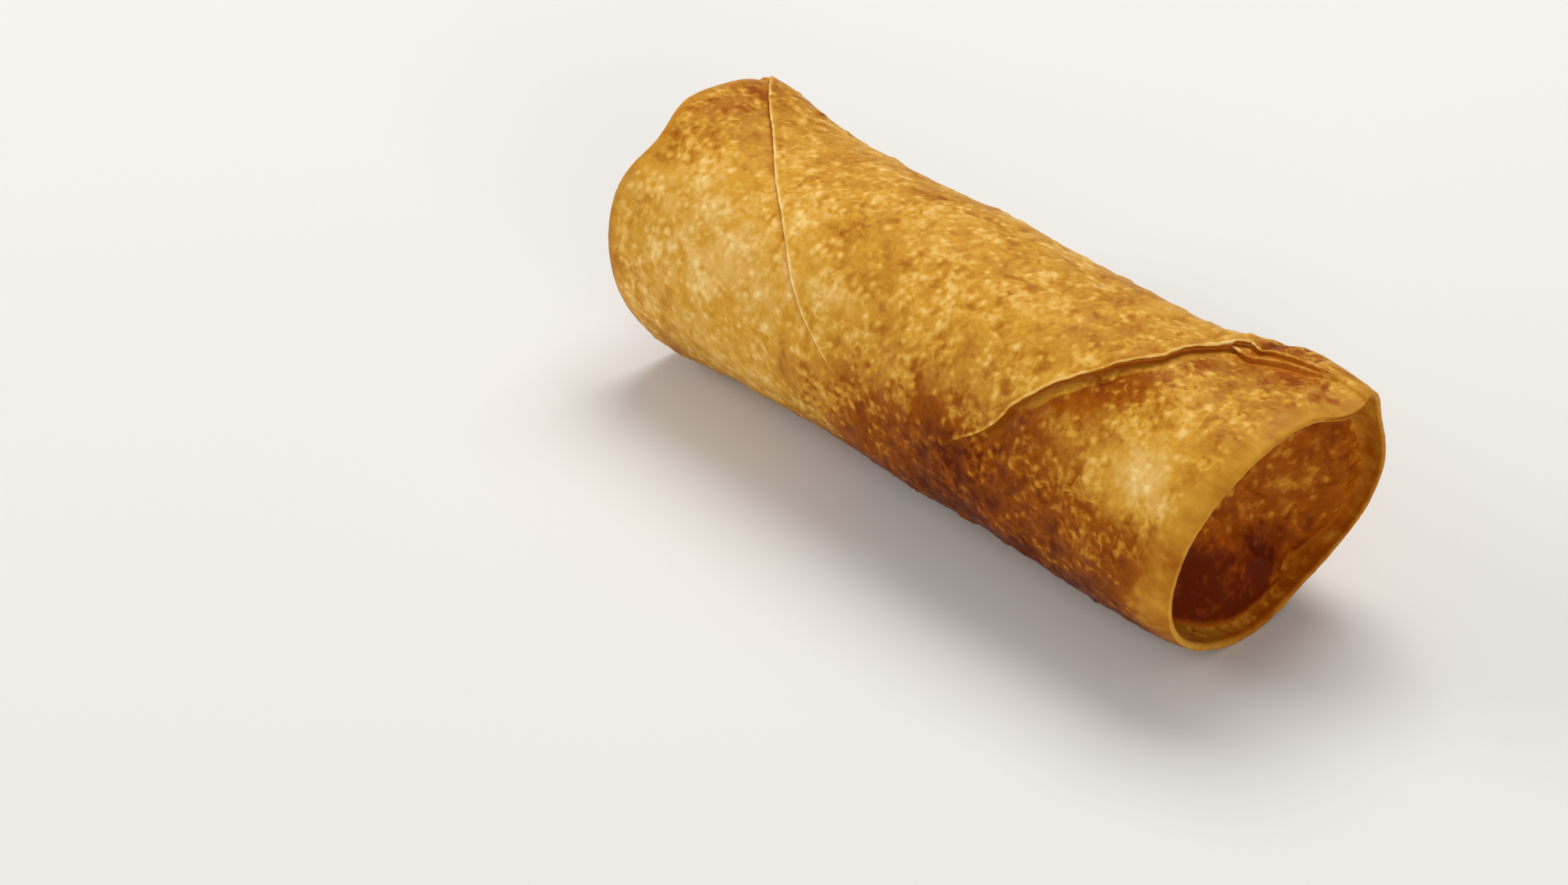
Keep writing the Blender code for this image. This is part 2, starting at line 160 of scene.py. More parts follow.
@dataclass(frozen=True)
class RollBody:
    """The section of the layer that the flap lies on, and where the two rims stand."""

    half_length: float = 60.0 * MM
    half_width: float = 21.4 * MM
    half_height: float = 20.1 * MM
    squareness: float = 2.02
    rest_depth: float = 0.7 * MM
    near_swells: tuple[Swell, ...] = (
        Swell(46.0, 9.5, 2.4 * MM),
        Swell(84.0, 16.0, -0.5 * MM),
        Swell(-46.0, 24.0, -1.3 * MM),
    )
    near_reach: Span = (36.0 * MM, 52.0 * MM)
    far_swells: tuple[Swell, ...] = (
        Swell(52.0, 15.0, 1.9 * MM),
        Swell(94.0, 14.0, 0.8 * MM),
        Swell(-50.0, 30.0, -1.6 * MM),
    )
    far_reach: Span = (40.0 * MM, 60.0 * MM)
    dents: tuple[Patch, ...] = (
        Patch(60.0, 28.0, -41.0 * MM, 9.0 * MM, -0.9 * MM),
        Patch(226.0, 34.0, -12.0 * MM, 26.0 * MM, -0.8 * MM),
        Patch(48.0, 13.0, 46.4 * MM, 0.75 * MM, -0.8 * MM),
    )
    waves: tuple[Wave, ...] = (
        Wave(0.22 * MM, 7.5 * MM, 2.0),
        Wave(0.16 * MM, 4.6 * MM, -5.0, 1.3),
    )
    bulges: int = 46
    bulge_seed: int = 11
    bulge_height: float = 0.42 * MM
    bulge_range: Span = (-0.6, 1.0)
    bulge_reach: float = 0.95
    bulge_spread: Span = (2.6 * MM, 5.5 * MM)
    rim_lean: float = 3.1 * MM
    rim_wave: float = 0.35 * MM
    rim_waves: float = 3.0
    near_rim_point: Swell = Swell(60.0, 10.0, 2.2 * MM)
    far_rim_bay: Swell = Swell(122.0, 12.0, -2.2 * MM)
    fold_radius: float = 0.42 * MM
    fold_swell: Swell = Swell(264.0, 30.0, 0.34 * MM)
    shoulder_drop: float = 0.4 * MM
    shoulder_swell: Swell = Swell(166.0, 40.0, 1.25 * MM)
    shoulder_lengths: Span = (3.2 * MM, 6.5 * MM)
    shoulder_power: float = 2.2

    def bulge_table(self) -> tuple[np.ndarray, ...]:
        """Station, turn, spread and height of each soft bulge of the crust.

        Returns:
            Those four, each with a value for every bulge.
        """
        draw = np.random.RandomState(self.bulge_seed)
        stations = draw.uniform(-self.bulge_reach, self.bulge_reach, self.bulges) * self.half_length
        turns = draw.uniform(0.0, FULL_TURN, self.bulges)
        spreads = draw.uniform(*self.bulge_spread, self.bulges)
        heights = draw.uniform(*self.bulge_range, self.bulges) * self.bulge_height
        return stations, turns, spreads, heights

    def relief(self, x: Any, turn: Any) -> Any:
        """The uneven crust: a few long waves and many soft bulges.

        Args:
            x: Station along the roll.
            turn: Turn angle in degrees.

        Returns:
            Height of the relief at each station and turn.
        """
        relief = sum(wave.at(x, turn) for wave in self.waves)
        for station, centre, spread, height in zip(*self.bulge_table()):
            along = (x - station) / spread
            across = np.radians(turn_away(turn, centre)) * self.half_width / spread
            relief = relief + height * np.exp(-0.5 * (along**2 + across**2))
        return relief

    def radius(self, x: Any, turn: Any) -> Any:
        """Radius of the layer under the flap, from the roll's middle line.

        Args:
            x: Station along the roll.
            turn: Turn angle in degrees.

        Returns:
            The radius at each station and turn.
        """
        angle = np.radians(turn)
        across = np.abs(np.cos(angle) / self.half_width) ** self.squareness
        upward = np.abs(np.sin(angle) / self.half_height) ** self.squareness
        radius = (across + upward) ** (-1.0 / self.squareness)
        near = smooth(*self.near_reach, x) * sum(swell.at(turn) for swell in self.near_swells)
        far = smooth(*self.far_reach, -x) * sum(swell.at(turn) for swell in self.far_swells)
        dents = sum(dent.at(x, turn) for dent in self.dents)
        return radius + near + far + dents + self.relief(x, turn)

    def rim_station(self, turn: Any, end: End) -> Any:
        """X of the rim of one end.

        Args:
            turn: Turn angle in degrees.
            end: The end that is meant.

        Returns:
            X of the rim's outermost line at each turn.
        """
        lean = self.rim_lean * np.sin(np.radians(turn))
        wave = self.rim_wave * np.sin(np.radians(self.rim_waves * turn) + end.value)
        point = self.near_rim_point if end is End.WIDE else self.far_rim_bay
        return end.value * (self.half_length + lean + wave + point.at(turn))

    def fold(self, turn: Any) -> Any:
        """Radius of a rim's fold, which is thickest low at the front."""
        return self.fold_radius + self.fold_swell.at(turn)

    def rim_drop(self, turn: Any, end: End) -> Any:
        """How far the outside has drawn in where a rim's fold begins."""
        return self.shoulder_drop + (self.shoulder_swell.at(turn) if end is End.WIDE else 0.0)

    def rim_slope(self, turn: Any, end: End) -> Any:
        """Angle, in radians, at which the outside draws in where a rim's fold begins."""
        length = dict(zip(End, self.shoulder_lengths))[end]
        return np.arctan(self.shoulder_power * self.rim_drop(turn, end) / length)

    def fold_start(self, turn: Any, end: End) -> Any:
        """X where the outside meets the round fold of a rim."""
        forward = self.fold(turn) * (1.0 - np.sin(self.rim_slope(turn, end)))
        return self.rim_station(turn, end) - end.value * forward

    def shoulder(self, x: Any, turn: Any) -> Any:
        """How far the outside draws in before a rim.

        Args:
            x: Station along the roll.
            turn: Turn angle in degrees.

        Returns:
            The distance at each station and turn.
        """
        total = 0.0
        for end, length in zip(End, self.shoulder_lengths):
            before = end.value * (self.fold_start(turn, end) - x)
            near = np.clip(1.0 - before / length, 0.0, 1.0)
            total = total + self.rim_drop(turn, end) * near**self.shoulder_power
        return total

    def place(self, x: Any, y: Any, z: Any) -> np.ndarray:
        """Points from their place about the middle line, with the foot of the roll pressed flat."""
        height = np.maximum(z + self.half_height - self.rest_depth, 0.0)
        return np.stack(np.broadcast_arrays(x, y, height), axis=-1)


@dataclass(frozen=True)
class Fray:
    """Small irregular waves along a cut edge, from a fixed seed."""

    seed: int
    height: float
    waves: int = 7
    length_range: Span = (3.5, 14.0)

    def at(self, turn: Any) -> Any:
        """How far the edge strays at a turn angle.

        Args:
            turn: Turn angle in degrees.

        Returns:
            The distance at each turn.
        """
        draw = np.random.RandomState(self.seed)
        lengths = draw.uniform(*self.length_range, self.waves)
        phases = draw.uniform(0.0, 2.0 * math.pi, self.waves)
        waves = sum(np.sin(2.0 * math.pi * turn / span + phase) for span, phase in zip(lengths, phases))
        return self.height * waves / math.sqrt(self.waves)


@dataclass(frozen=True)
class CutProfile:
    """The fine shape of one cut edge: its offsets outwards, and its heights over the layer below.

    Its points lie on the sheet, then on the cut, under the sheet's overhang, on the layer in under it,
    and on the open ground before it. A point on the cut has an offset and a share of the thickness, and
    one under the overhang has a share of the undercut and of the way from the sheet down to the gap.
    The marks give for each point how much painted highlight it gets as cut edge, and how much painted
    shade it gets in the seam below it and on the ground before it.
    """

    thickness: float
    most_thickness: float = 0.8
    gap: float = 0.08 * MM
    top_reach: float = 3.0 * MM
    foot_reach: float = 1.6 * MM
    brink: float = 0.15 * MM
    inset: float = 0.05 * MM
    top_count: int = 7
    crowding: float = 1.6
    first_lift: float = 0.1
    lift_power: float = 1.5
    cut: tuple[Span, ...] = ((0.0, 0.14), (0.08 * MM, 0.42), (0.05 * MM, 0.78))
    overhang: tuple[Span, ...] = ((0.03, 0.0), (0.5, 0.55), (1.0, 1.0))
    bottom: tuple[float, ...] = (0.8, 0.45, 0.12)
    # The top and cut marks paint a highlight on the sheet's top just before the edge and on the cut
    # face.
    top_marks: tuple[Span, ...] = ((0.35, 0.0), (0.9, 0.0))
    cut_marks: tuple[Span, ...] = ((1.0, 0.0), (0.9, 0.0), (0.5, 0.3))
    # Painted shade in under the overhang, fading out over the ground before the edge.
    seam_marks: tuple[Span, ...] = ((0.0, 1.0),) * 5 + ((0.0, 0.8),)
    ground_marks: tuple[Span, ...] = ((0.0, 0.45), (0.0, 0.2), (0.0, 0.05), (0.0, 0.0))

    def points(self, lift: Any, sheet: Any, undercut: Any) -> list[tuple[Any, Any]]:
        """The points from the sheet's top, round the cut and in under it, to the ground before it.

        Args:
            lift: How far the cut edge stands up.
            sheet: Thickness of the sheet further in.
            undercut: How far one can see in under it.

        Returns:
            Offset and height of each point.
        """
        crest = sheet + lift
        thickness = np.minimum(self.thickness, self.most_thickness * sheet)
        base = crest - thickness
        flat = 0.0 * base
        points = []
        for share in np.linspace(0.0, 1.0, self.top_count):
            way = 1.0 - (1.0 - share) ** self.crowding
            offset = -self.top_reach + (self.top_reach - self.brink) * way
            points.append((offset, sheet + lift * mix(self.first_lift, 1.0, share**self.lift_power)))
        points += [(offset, crest - drop * thickness) for offset, drop in self.cut]
        for depth, share in self.overhang:
            points.append((-depth * undercut - self.inset, mix(base, self.gap, share)))
        points += [(-depth * undercut, flat) for depth in self.bottom]
        ground = np.linspace(self.brink, self.foot_reach, len(self.ground_marks))
        return points + [(offset, flat) for offset in ground]

    def marks(self) -> tuple[Span, ...]:
        """The marks of every point."""
        plain = ((0.0, 0.0),) * (self.top_count - len(self.top_marks))
        return plain + self.top_marks + self.cut_marks + self.seam_marks + self.ground_marks


@dataclass(frozen=True)
class Flap:
    """The closing flap: the end of the pastry sheet, with two cut edges that run skew over the top."""

    body: RollBody
    sheet: float = 0.8 * MM
    start: float = 52.0
    sealed: Span = (160.0, 176.0)
    sunk: float = 190.0
    far_start: float = 0.4 * MM
    far_pitch: float = 0.446 * MM
    far_wave: float = 0.25 * MM
    far_waves: float = 9.0
    near_x: float = 43.6 * MM
    near_turn: float = 60.0
    near_pitch: float = 0.09 * MM
    near_open: float = 62.0
    skew_pitch: float = 0.22 * MM
    skew_turn: float = 98.0
    skew_bend: float = 5.0
    near_wave: float = 0.12 * MM
    near_waves: float = 16.0
    near_bays: tuple[Swell, ...] = (
        Swell(58.0, 3.6, 3.2 * MM),
        Swell(100.0, 4.0, 0.9 * MM),
        Swell(155.0, 5.5, 1.5 * MM),
    )
    near_fray: Fray = Fray(5, 0.11 * MM)
    far_fray: Fray = Fray(8, 0.07 * MM)
    lift: float = 0.25 * MM
    far_lift: float = 0.14 * MM
    near_lift: Swell = Swell(102.0, 24.0, 0.3 * MM)
    undercut: float = 0.8 * MM
    profile: CutProfile = CutProfile(0.34 * MM)

    def far_line(self, turn: Any) -> Any:
        """The even run of the far edge: one straight skew line."""
        start = self.body.rim_station(self.start, End.NARROW) + self.far_start
        return start + self.far_pitch * (turn - self.start)

    def far_edge(self, turn: Any) -> Any:
        """X of the cut edge on the far side, with its waves."""
        wave = self.far_wave * np.sin(np.radians(self.far_waves * turn))
        return self.far_line(turn) + wave + self.far_fray.at(turn)

    def near_line(self, turn: Any) -> Any:
        """The even run of the near edge, which crosses the top nearly square and then goes skew.

        Args:
            turn: Turn angle in degrees.

        Returns:
            X of the line at each turn.
        """
        over_top = self.near_x - self.near_pitch * (turn - self.near_turn)
        skew = np.log1p(np.exp((turn - self.skew_turn) / self.skew_bend))
        return over_top - self.skew_pitch * self.skew_bend * skew

    def near_edge(self, turn: Any) -> Any:
        """X of the cut edge on the near side, with its waves and the places where it bows out."""
        wave = self.near_wave * np.sin(np.radians(self.near_waves * turn)) + self.near_fray.at(turn)
        return self.near_line(turn) + wave + sum(bay.at(turn) for bay in self.near_bays)

    def guides(self, turn: Any) -> tuple[Any, Any]:
        """The x that the columns beside each edge follow: the edge, and then a way back underneath.

        Args:
            turn: Turn angle in degrees.

        Returns:
            The guide of the far edge and that of the near one.
        """
        last = self.sealed[1]
        back = smooth(last, FULL_TURN + self.start, turn)
        guides = []
        for edge, start in ((self.far_edge, self.start), (self.near_edge, self.near_open)):
            along = edge(np.clip(turn, start, last))
            guides.append(np.where(turn <= last, along, mix(edge(last), edge(start), back)))
        limit = self.body.fold_start(turn, End.NARROW) + self.profile.foot_reach
        return np.maximum(guides[0], limit), guides[1]

    def openness(self, turn: Any, start: float, ramp: float) -> Any:
        """How open a cut edge is: 1 along it, and 0 where it is pasted down or absent."""
        return smooth(start, start + ramp, turn) * (1.0 - smooth(*self.sealed, turn))

    def climb(self, turn: Any) -> Any:
        """Share of one sheet that the outermost layer has climbed since the flap sank in."""
        return np.clip((turn - self.sunk) / (FULL_TURN + self.start - self.sunk), 0.0, 1.0)

    def level(self, turn: Any) -> Any:
        """Level of the outermost sheet where nothing is folded in below it."""
        on_flap = 1.0 - smooth(self.sealed[0], self.sunk, turn)
        return self.sheet * np.maximum(on_flap, self.climb(turn))


@dataclass(frozen=True)
class Collar:
    """The folded-in side at the top of the wide end, whose layers end in steps that meet at a corner."""

    flap: Flap
    sheet: float = 0.9 * MM
    start: float = 44.5 * MM
    bulge_start: float = 34.0 * MM
    edges: Span = (62.0, 67.5)
    thins: Span = (-60.0, 10.0)
    soft_reach: Span = (5.0, 10.0)
    draw: Swell = Swell(74.0, 16.0, 10.0)
    draw_end: float = 62.0 * MM
    squeeze: Swell = Swell(70.0, 4.2, 5.4)
    squeeze_end: float = 52.0 * MM
    pressed_span: Span = (53.5 * MM, 59.0 * MM)
    # Painted shade in the gaps below the collar's layer edges: its widths in degrees and its strength.
    gap_shade_widths: Span = (2.3, 1.2)
    gap_shade_strength: float = 0.95
    lift: float = 0.05 * MM
    undercut: float = 0.45 * MM
    profile: CutProfile = CutProfile(0.4 * MM, gap=0.06 * MM, top_reach=1.1 * MM, foot_reach=0.8 * MM)

    def share(self, angle: Any) -> Any:
        """How thick the folded-in side still is, as it thins out down the back."""
        return smooth(*self.thins, angle)

    def level(self, turn: Any) -> Any:
        """Level of the wide end outside the flap, with a step at each layer's edge.

        Args:
            turn: Turn angle in degrees.

        Returns:
            The level at each turn.
        """
        angle = back_turn(turn)
        outer = np.where(turn > self.flap.sunk, self.flap.climb(turn), angle <= self.edges[0])
        return self.flap.sheet * outer + self.sheet * (angle <= self.edges[1]) * self.share(angle)

    def soft_level(self, turn: Any) -> Any:
        """The same level without steps, as inside the rim.

        Args:
            turn: Turn angle in degrees.

        Returns:
            The level at each turn.
        """
        angle = back_turn(turn)
        before, after = self.soft_reach
        falling = 1.0 - smooth(self.edges[0] - before, self.edges[1] + after, angle)
        outer = np.where(turn > self.flap.sunk, self.flap.climb(turn), falling)
        return self.flap.sheet * outer + self.sheet * falling * self.share(angle)

    def bulge(self, x: Any, turn: Any) -> Any:
        """How far the folded-in side lifts the flap that lies over it.

        Args:
            x: Station along the roll.
            turn: Turn angle in degrees.

        Returns:
            The height at each station and turn.
        """
        angle = back_turn(turn)
        fading = 1.0 - smooth(self.edges[0], self.edges[1] + self.soft_reach[1], angle)
        return self.sheet * smooth(self.bulge_start, self.start, x) * fading * self.share(angle)

    def drawn(self, x: Any, turn: Any) -> Any:
        """The turn angle of a row at x, as the rows draw together at the corner of the rim."""
        squeezed = smooth(self.start, self.squeeze_end, x) * self.squeeze.at(turn)
        return turn - smooth(self.start, self.draw_end, x) * self.draw.at(turn) - squeezed

    def gap_shade(self, turn: Any) -> Any:
        """How much painted shade, in the seam's colour, the gaps below the layers' edges take."""
        upper, lower = (bell(turn, edge + gap, gap) for edge, gap in zip(self.edges, self.gap_shade_widths))
        return self.gap_shade_strength * np.maximum(upper, lower)

    def pressed(self, x: Any) -> Any:
        """How far the layers are pressed into one before the rim."""
        return smooth(*self.pressed_span, x)


@dataclass(frozen=True)
class Rows:
    """The rows round the roll.

    turns are those of the rows on and under the flap. Outside the flap's near edge the rows follow the
    steps of the collar instead, with their own turns and levels. The first row past a step stands off
    by the share AFTER_STEP of the spacing.
    """

    AFTER_STEP: ClassVar[float] = 0.3

    turns: np.ndarray
    open_turns: np.ndarray
    open_levels: np.ndarray
    cut: np.ndarray
    seam: np.ndarray

    @classmethod
    def planned(cls, collar: Collar, spacing: float) -> "Rows":
        """Rows at an even spacing, and close together at the steps of the collar.

        Args:
            collar: The collar, for the places and profiles of its steps.
            spacing: Turn from row to row in degrees, away from the steps.

        Returns:
            The rows of one whole turn, from the start of the flap.
        """
        flap = collar.flap
        per_metre = math.degrees(1.0 / flap.body.half_width)
        last = FULL_TURN + flap.start - spacing
        parts: list[tuple[np.ndarray, ...]] = []
        begin = flap.start
        steps = ((collar.edges[0], flap.sheet, collar.sheet), (collar.edges[1], collar.sheet, 0.0))
        for edge, sheet, below in steps:
            reach = collar.profile.top_reach * per_metre
            count = max(int((edge - reach - begin) / spacing), 0)
            parts.append(cls._plain(collar, np.linspace(begin, edge - reach, count, endpoint=False)))
            parts.append(cls._step(collar, edge, sheet, below, per_metre))
            begin = edge + collar.profile.foot_reach * per_metre + cls.AFTER_STEP * spacing
        count = int((last - begin) / spacing) + 1
        parts.append(cls._plain(collar, np.linspace(begin, last, count)))
        return cls(*(np.concatenate(column) for column in zip(*parts)))

    @staticmethod
    def _plain(collar: Collar, turns: np.ndarray) -> tuple[np.ndarray, ...]:
        """Rows away from the steps."""
        none = np.zeros_like(turns)
        return turns, turns, collar.level(turns), none, none

    @staticmethod
    def _step(
        collar: Collar, edge: float, sheet: float, below: float, per_metre: float
    ) -> tuple[np.ndarray, ...]:
        """Rows that go over one step of the collar and in under it.

        Args:
            collar: The collar, for its lift, undercut and profile.
            edge: Turn of the step.
            sheet: Height of the step.
            below: Level of the layer below it.
            per_metre: Turn in degrees for one metre round the roll.

        Returns:
            Turns on the flap, turns and levels outside it, and the marks of painted cut-edge highlight
            and painted seam shade.
        """
        profile = collar.profile
        offsets, heights = np.array(profile.points(collar.lift, sheet, collar.undercut)).T
        cut, seam = np.array(profile.marks()).T
        turns = edge + np.linspace(-profile.top_reach, profile.foot_reach, len(offsets)) * per_metre
        return turns, edge + offsets * per_metre, below + heights, cut, seam


class SkinGrid:
    """Collects the columns of one closed surface, each with a point and its marks for every row."""

    def __init__(self) -> None:
        """Starts with no columns."""
        self.points: list[np.ndarray] = []
        self.marks: list[dict[Mark, np.ndarray]] = []

    def add(self, points: np.ndarray, marks: dict[Mark, Any]) -> None:
        """Adds one column; a mark that isn't given is 0.

        Args:
            points: The point of every row.
            marks: Value of each mark, for all rows or row by row.
        """
        rows = len(points)
        self.points.append(points)
        self.marks.append({mark: np.broadcast_to(marks.get(mark, 0.0), rows) for mark in Mark})

    def turned_round(self) -> "SkinGrid":
        """The same columns in the other order.

        Returns:
            The new grid.
        """
        other = SkinGrid()
        other.points = self.points[::-1]
        other.marks = self.marks[::-1]
        return other

    def centre(self) -> np.ndarray:
        """Middle of the columns' box, with its height left at zero.

        Returns:
            The middle, as a point.
        """
        cloud = np.concatenate(self.points)
        middle = 0.5 * (cloud.min(axis=0) + cloud.max(axis=0))
        middle[2] = 0.0
        return middle

    def mesh(self, name: str, offset: np.ndarray) -> bpy.types.Mesh:
        """The closed surface as a mesh, with the marks as attributes of its points.

        Args:
            name: Name of the mesh.
            offset: Taken off every point.

        Returns:
            A mesh of quads, with a fan of triangles where the first and the last column end.
        """
        rows = len(self.points[0])
        inner = self.points[1:-1]
        cloud = np.concatenate(inner) - offset
        ends = [self.points[0].mean(axis=0) - offset, self.points[-1].mean(axis=0) - offset]
        row = np.arange(rows)
        following = (row + 1) % rows
        faces: list[tuple[int, ...]] = []
        for column in range(len(inner) - 1):
            left, right = column * rows, (column + 1) * rows
            quads = np.stack([left + row, right + row, right + following, left + following], axis=-1)
            faces.extend(map(tuple, quads.tolist()))
        first_pole, last_pole = len(cloud), len(cloud) + 1
        final = (len(inner) - 1) * rows
        faces.extend((first_pole, int(a), int(b)) for a, b in zip(row, following))
        faces.extend((final + int(a), last_pole, final + int(b)) for a, b in zip(row, following))
        points = np.concatenate([cloud, ends])
        if self._volume(points, faces) < 0.0:
            faces = [face[::-1] for face in faces]
        mesh = bpy.data.meshes.new(name)
        mesh.from_pydata(points.tolist(), [], faces)
        for mark in Mark:
            inside = np.concatenate([column[mark] for column in self.marks[1:-1]])
            poles = [self.marks[0][mark].mean(), self.marks[-1][mark].mean()]
            values = np.concatenate([inside, poles]).astype(np.float32)
            mesh.attributes.new(mark.value, "FLOAT", "POINT").data.foreach_set("value", values)
        mesh.shade_smooth()
        return mesh

    @staticmethod
    def _volume(points: np.ndarray, faces: list[tuple[int, ...]]) -> float:
        """Six times the volume that the faces enclose, negative where they point inwards.

        Args:
            points: The mesh's points.
            faces: The mesh's triangles and quads.

        Returns:
            Six times the volume.
        """
        total = 0.0
        for size in (3, 4):
            sided = np.array([face for face in faces if len(face) == size])
            for corner in range(1, size - 1):
                a, b, c = (points[sided[:, k]] for k in (0, corner, corner + 1))
                total += float(np.einsum("ij,ij->i", a, np.cross(b, c)).sum())
        return total


@dataclass(frozen=True)
class EndHollow:
    """The open hollow of one end: its floor of tucked-in pastry, and the wall inside the rim."""

    body: RollBody
    end: End
    middle: Span
    depths: Span
    draft: float = 0.05
    crease_rise: float = 1.3 * MM
    crease_width: float = 2.2 * MM
    crease_offset: float = 4.0 * MM
    crease_way: Span = (0.8, 0.6)
    dent_depth: float = 0.5 * MM
    dent_sizes: Span = (3.6 * MM, 4.4 * MM)
    dent_phase: float = 1.0
    rim_reach: float = 12.0 * MM
    floor_play: float = 0.7 * MM
    foot_rise: float = 0.0
    foot_down: Span = (-2.0 * MM, -16.0 * MM)
    foot_back: Span = (12.0 * MM, 2.0 * MM)
    side_rise: float = 0.0
    side_span: Span = (10.0 * MM, 19.0 * MM)
    least_depth: float = 2.6 * MM
    # Painted light on the back of the wall: less of the hollow's painted shade there, and a smoother
    # finish like the rim's. The wall's painted shade is eased where light falls in from the front and
    # deepened low down.
    back_wall_light: Swell = Swell(5.0, 45.0, 0.8)
    lit_wall: Swell = Swell(24.0, 36.0, 0.8)
    low_wall_shade: Swell = Swell(-62.0, 28.0, 0.6)
    shade_depths: Span = (3.6 * MM, 7.0 * MM)

    def wall_shade(self, turn: Any) -> Any:
        """Painted shade on the wall: most low down, and least where light falls in from the front."""
        return self.low_wall_shade.at(turn) - self.lit_wall.at(turn)

    def tuck_relief(self, y: Any, z: Any) -> Any:
        """Extra depth of the floor: one raised crease across it and soft dents.

        Args:
            y: Place across the roll.
            z: Height over the middle line.

        Returns:
            The depth at each place.
        """
        across = self.crease_way[0] * y + self.crease_way[1] * z
        crease = bell(across + self.crease_offset, 0.0, self.crease_width)
        dents = np.sin(y / self.dent_sizes[0] + self.dent_phase) * np.sin(z / self.dent_sizes[1])
        return self.dent_depth * dents - self.crease_rise * crease

    def floor_depth(self, y: Any, z: Any) -> Any:
        """Depth of the floor behind the end of the body at a place across it.

        Args:
            y: Place across the roll.
            z: Height over the middle line.

        Returns:
            The depth at each place, never less than the rim allows.
        """
        plain = mix(*self.depths, 0.5 + 0.5 * y / self.body.half_width)
        foot = self.foot_rise * smooth(*self.foot_down, z) * smooth(*self.foot_back, y)
        side = self.side_rise * smooth(*self.side_span, y)
        turn = np.degrees(np.arctan2(z, y))
        rim = self.body.half_length - self.end.value * self.body.rim_station(turn, self.end)
        limit = self.least_depth + rim * smooth(0.0, self.rim_reach, np.hypot(y, z))
        return np.maximum(plain - foot - side + self.tuck_relief(y, z), limit)

    def floor_x(self, y: Any, z: Any, rise: Any) -> Any:
        """X of a surface that stands a rise over the floor, or behind it where that is below 0."""
        return self.end.value * (self.body.half_length - self.floor_depth(y, z) + rise)

    def across(self, flat_y: Any, flat_z: Any, share: Any) -> tuple[Any, Any]:
        """The place at a share of the way from the hollow's middle to its wall."""
        return mix(self.middle[0], flat_y, share), mix(self.middle[1], flat_z, share)


@dataclass(frozen=True)
class ToastingAndShade:
    """Where the crust is browned and shaded: mostly low at the front of the wide half, where real
    browning and painted shade mix, and underneath.

    A patch browns or shades the crust more, or makes it paler where its strength is below 0; some
    patches are painted shade, painted highlight or painted light, as marked.
    """

    front: Span = (138.0, 192.0)
    front_strength: float = 0.6
    front_end: Span = (235.0, 300.0)
    front_reach: Span = (-27.0 * MM, 9.0 * MM)
    low: Swell = Swell(226.0, 22.0, 0.55)
    far_low: float = 0.25
    underneath: Swell = Swell(292.0, 38.0, 0.5)
    patches: tuple[Patch, ...] = (
        Patch(174.0, 13.0, 19.0 * MM, 9.0 * MM, 0.6),
        # Painted shade: the next two patches darken the crust just past the flap's near lip.
        Patch(151.0, 10.0, 30.0 * MM, 4.5 * MM, 0.45),
        Patch(122.0, 9.0, 37.0 * MM, 4.0 * MM, 0.3),
        # Painted highlight: the next two patches make the near front paler where a sheen of light falls.
        Patch(142.0, 14.0, 40.0 * MM, 6.0 * MM, -0.12),
        Patch(148.0, 12.0, 50.5 * MM, 4.2 * MM, -0.55),
        Patch(134.0, 18.0, 58.0 * MM, 3.0 * MM, 0.15),
        Patch(170.0, 12.0, 42.0 * MM, 9.0 * MM, 0.25),
        Patch(124.0, 10.0, 42.0 * MM, 5.0 * MM, 0.22),
        Patch(188.0, 12.0, 42.0 * MM, 8.0 * MM, -0.2),
        # Painted light: the next two patches make the front of the narrow half paler, where more light
        # falls.
        Patch(152.0, 20.0, -40.0 * MM, 16.0 * MM, -0.35),
        Patch(198.0, 12.0, -36.0 * MM, 14.0 * MM, -0.25),
        Patch(84.0, 24.0, -57.0 * MM, 6.0 * MM, 0.35),
        Patch(82.0, 18.0, 48.0 * MM, 6.0 * MM, 0.2),
        Patch(66.0, 7.0, 57.0 * MM, 4.0 * MM, 0.2),
        Patch(50.0, 10.0, 46.6 * MM, 0.9 * MM, 0.7),
        Patch(58.0, 8.0, 51.0 * MM, 5.0 * MM, 0.5),
        Patch(194.0, 12.0, 57.0 * MM, 5.0 * MM, -0.35),
    )
    limits: Span = (-0.8, 1.0)

    def at(self, x: Any, turn: Any) -> Any:
        """How browned and shaded the crust is at a place, from 0 to 1, and below 0 where it is paler.

        Args:
            x: Station along the roll.
            turn: Turn angle in degrees.

        Returns:
            The browning at each station and turn.
        """
        half = smooth(*self.front_reach, x)
        front = self.front_strength * smooth(*self.front, turn) * (1.0 - smooth(*self.front_end, turn))
        low = self.low.at(turn) * mix(self.far_low, 1.0, half)
        spots = sum(patch.at(x, turn) for patch in self.patches)
        return np.clip(front * half + low + self.underneath.at(turn) + spots, *self.limits)


@dataclass(frozen=True)
class Fineness:
    """How many columns each stretch of the skin has, and how close its rows are."""

    row_spacing: float = 1.34
    far_band: int = 68
    flap: int = 112
    near_band: int = 52
    fold: int = 9
    near_wall: int = 15
    far_wall: int = 9
    floor: int = 4


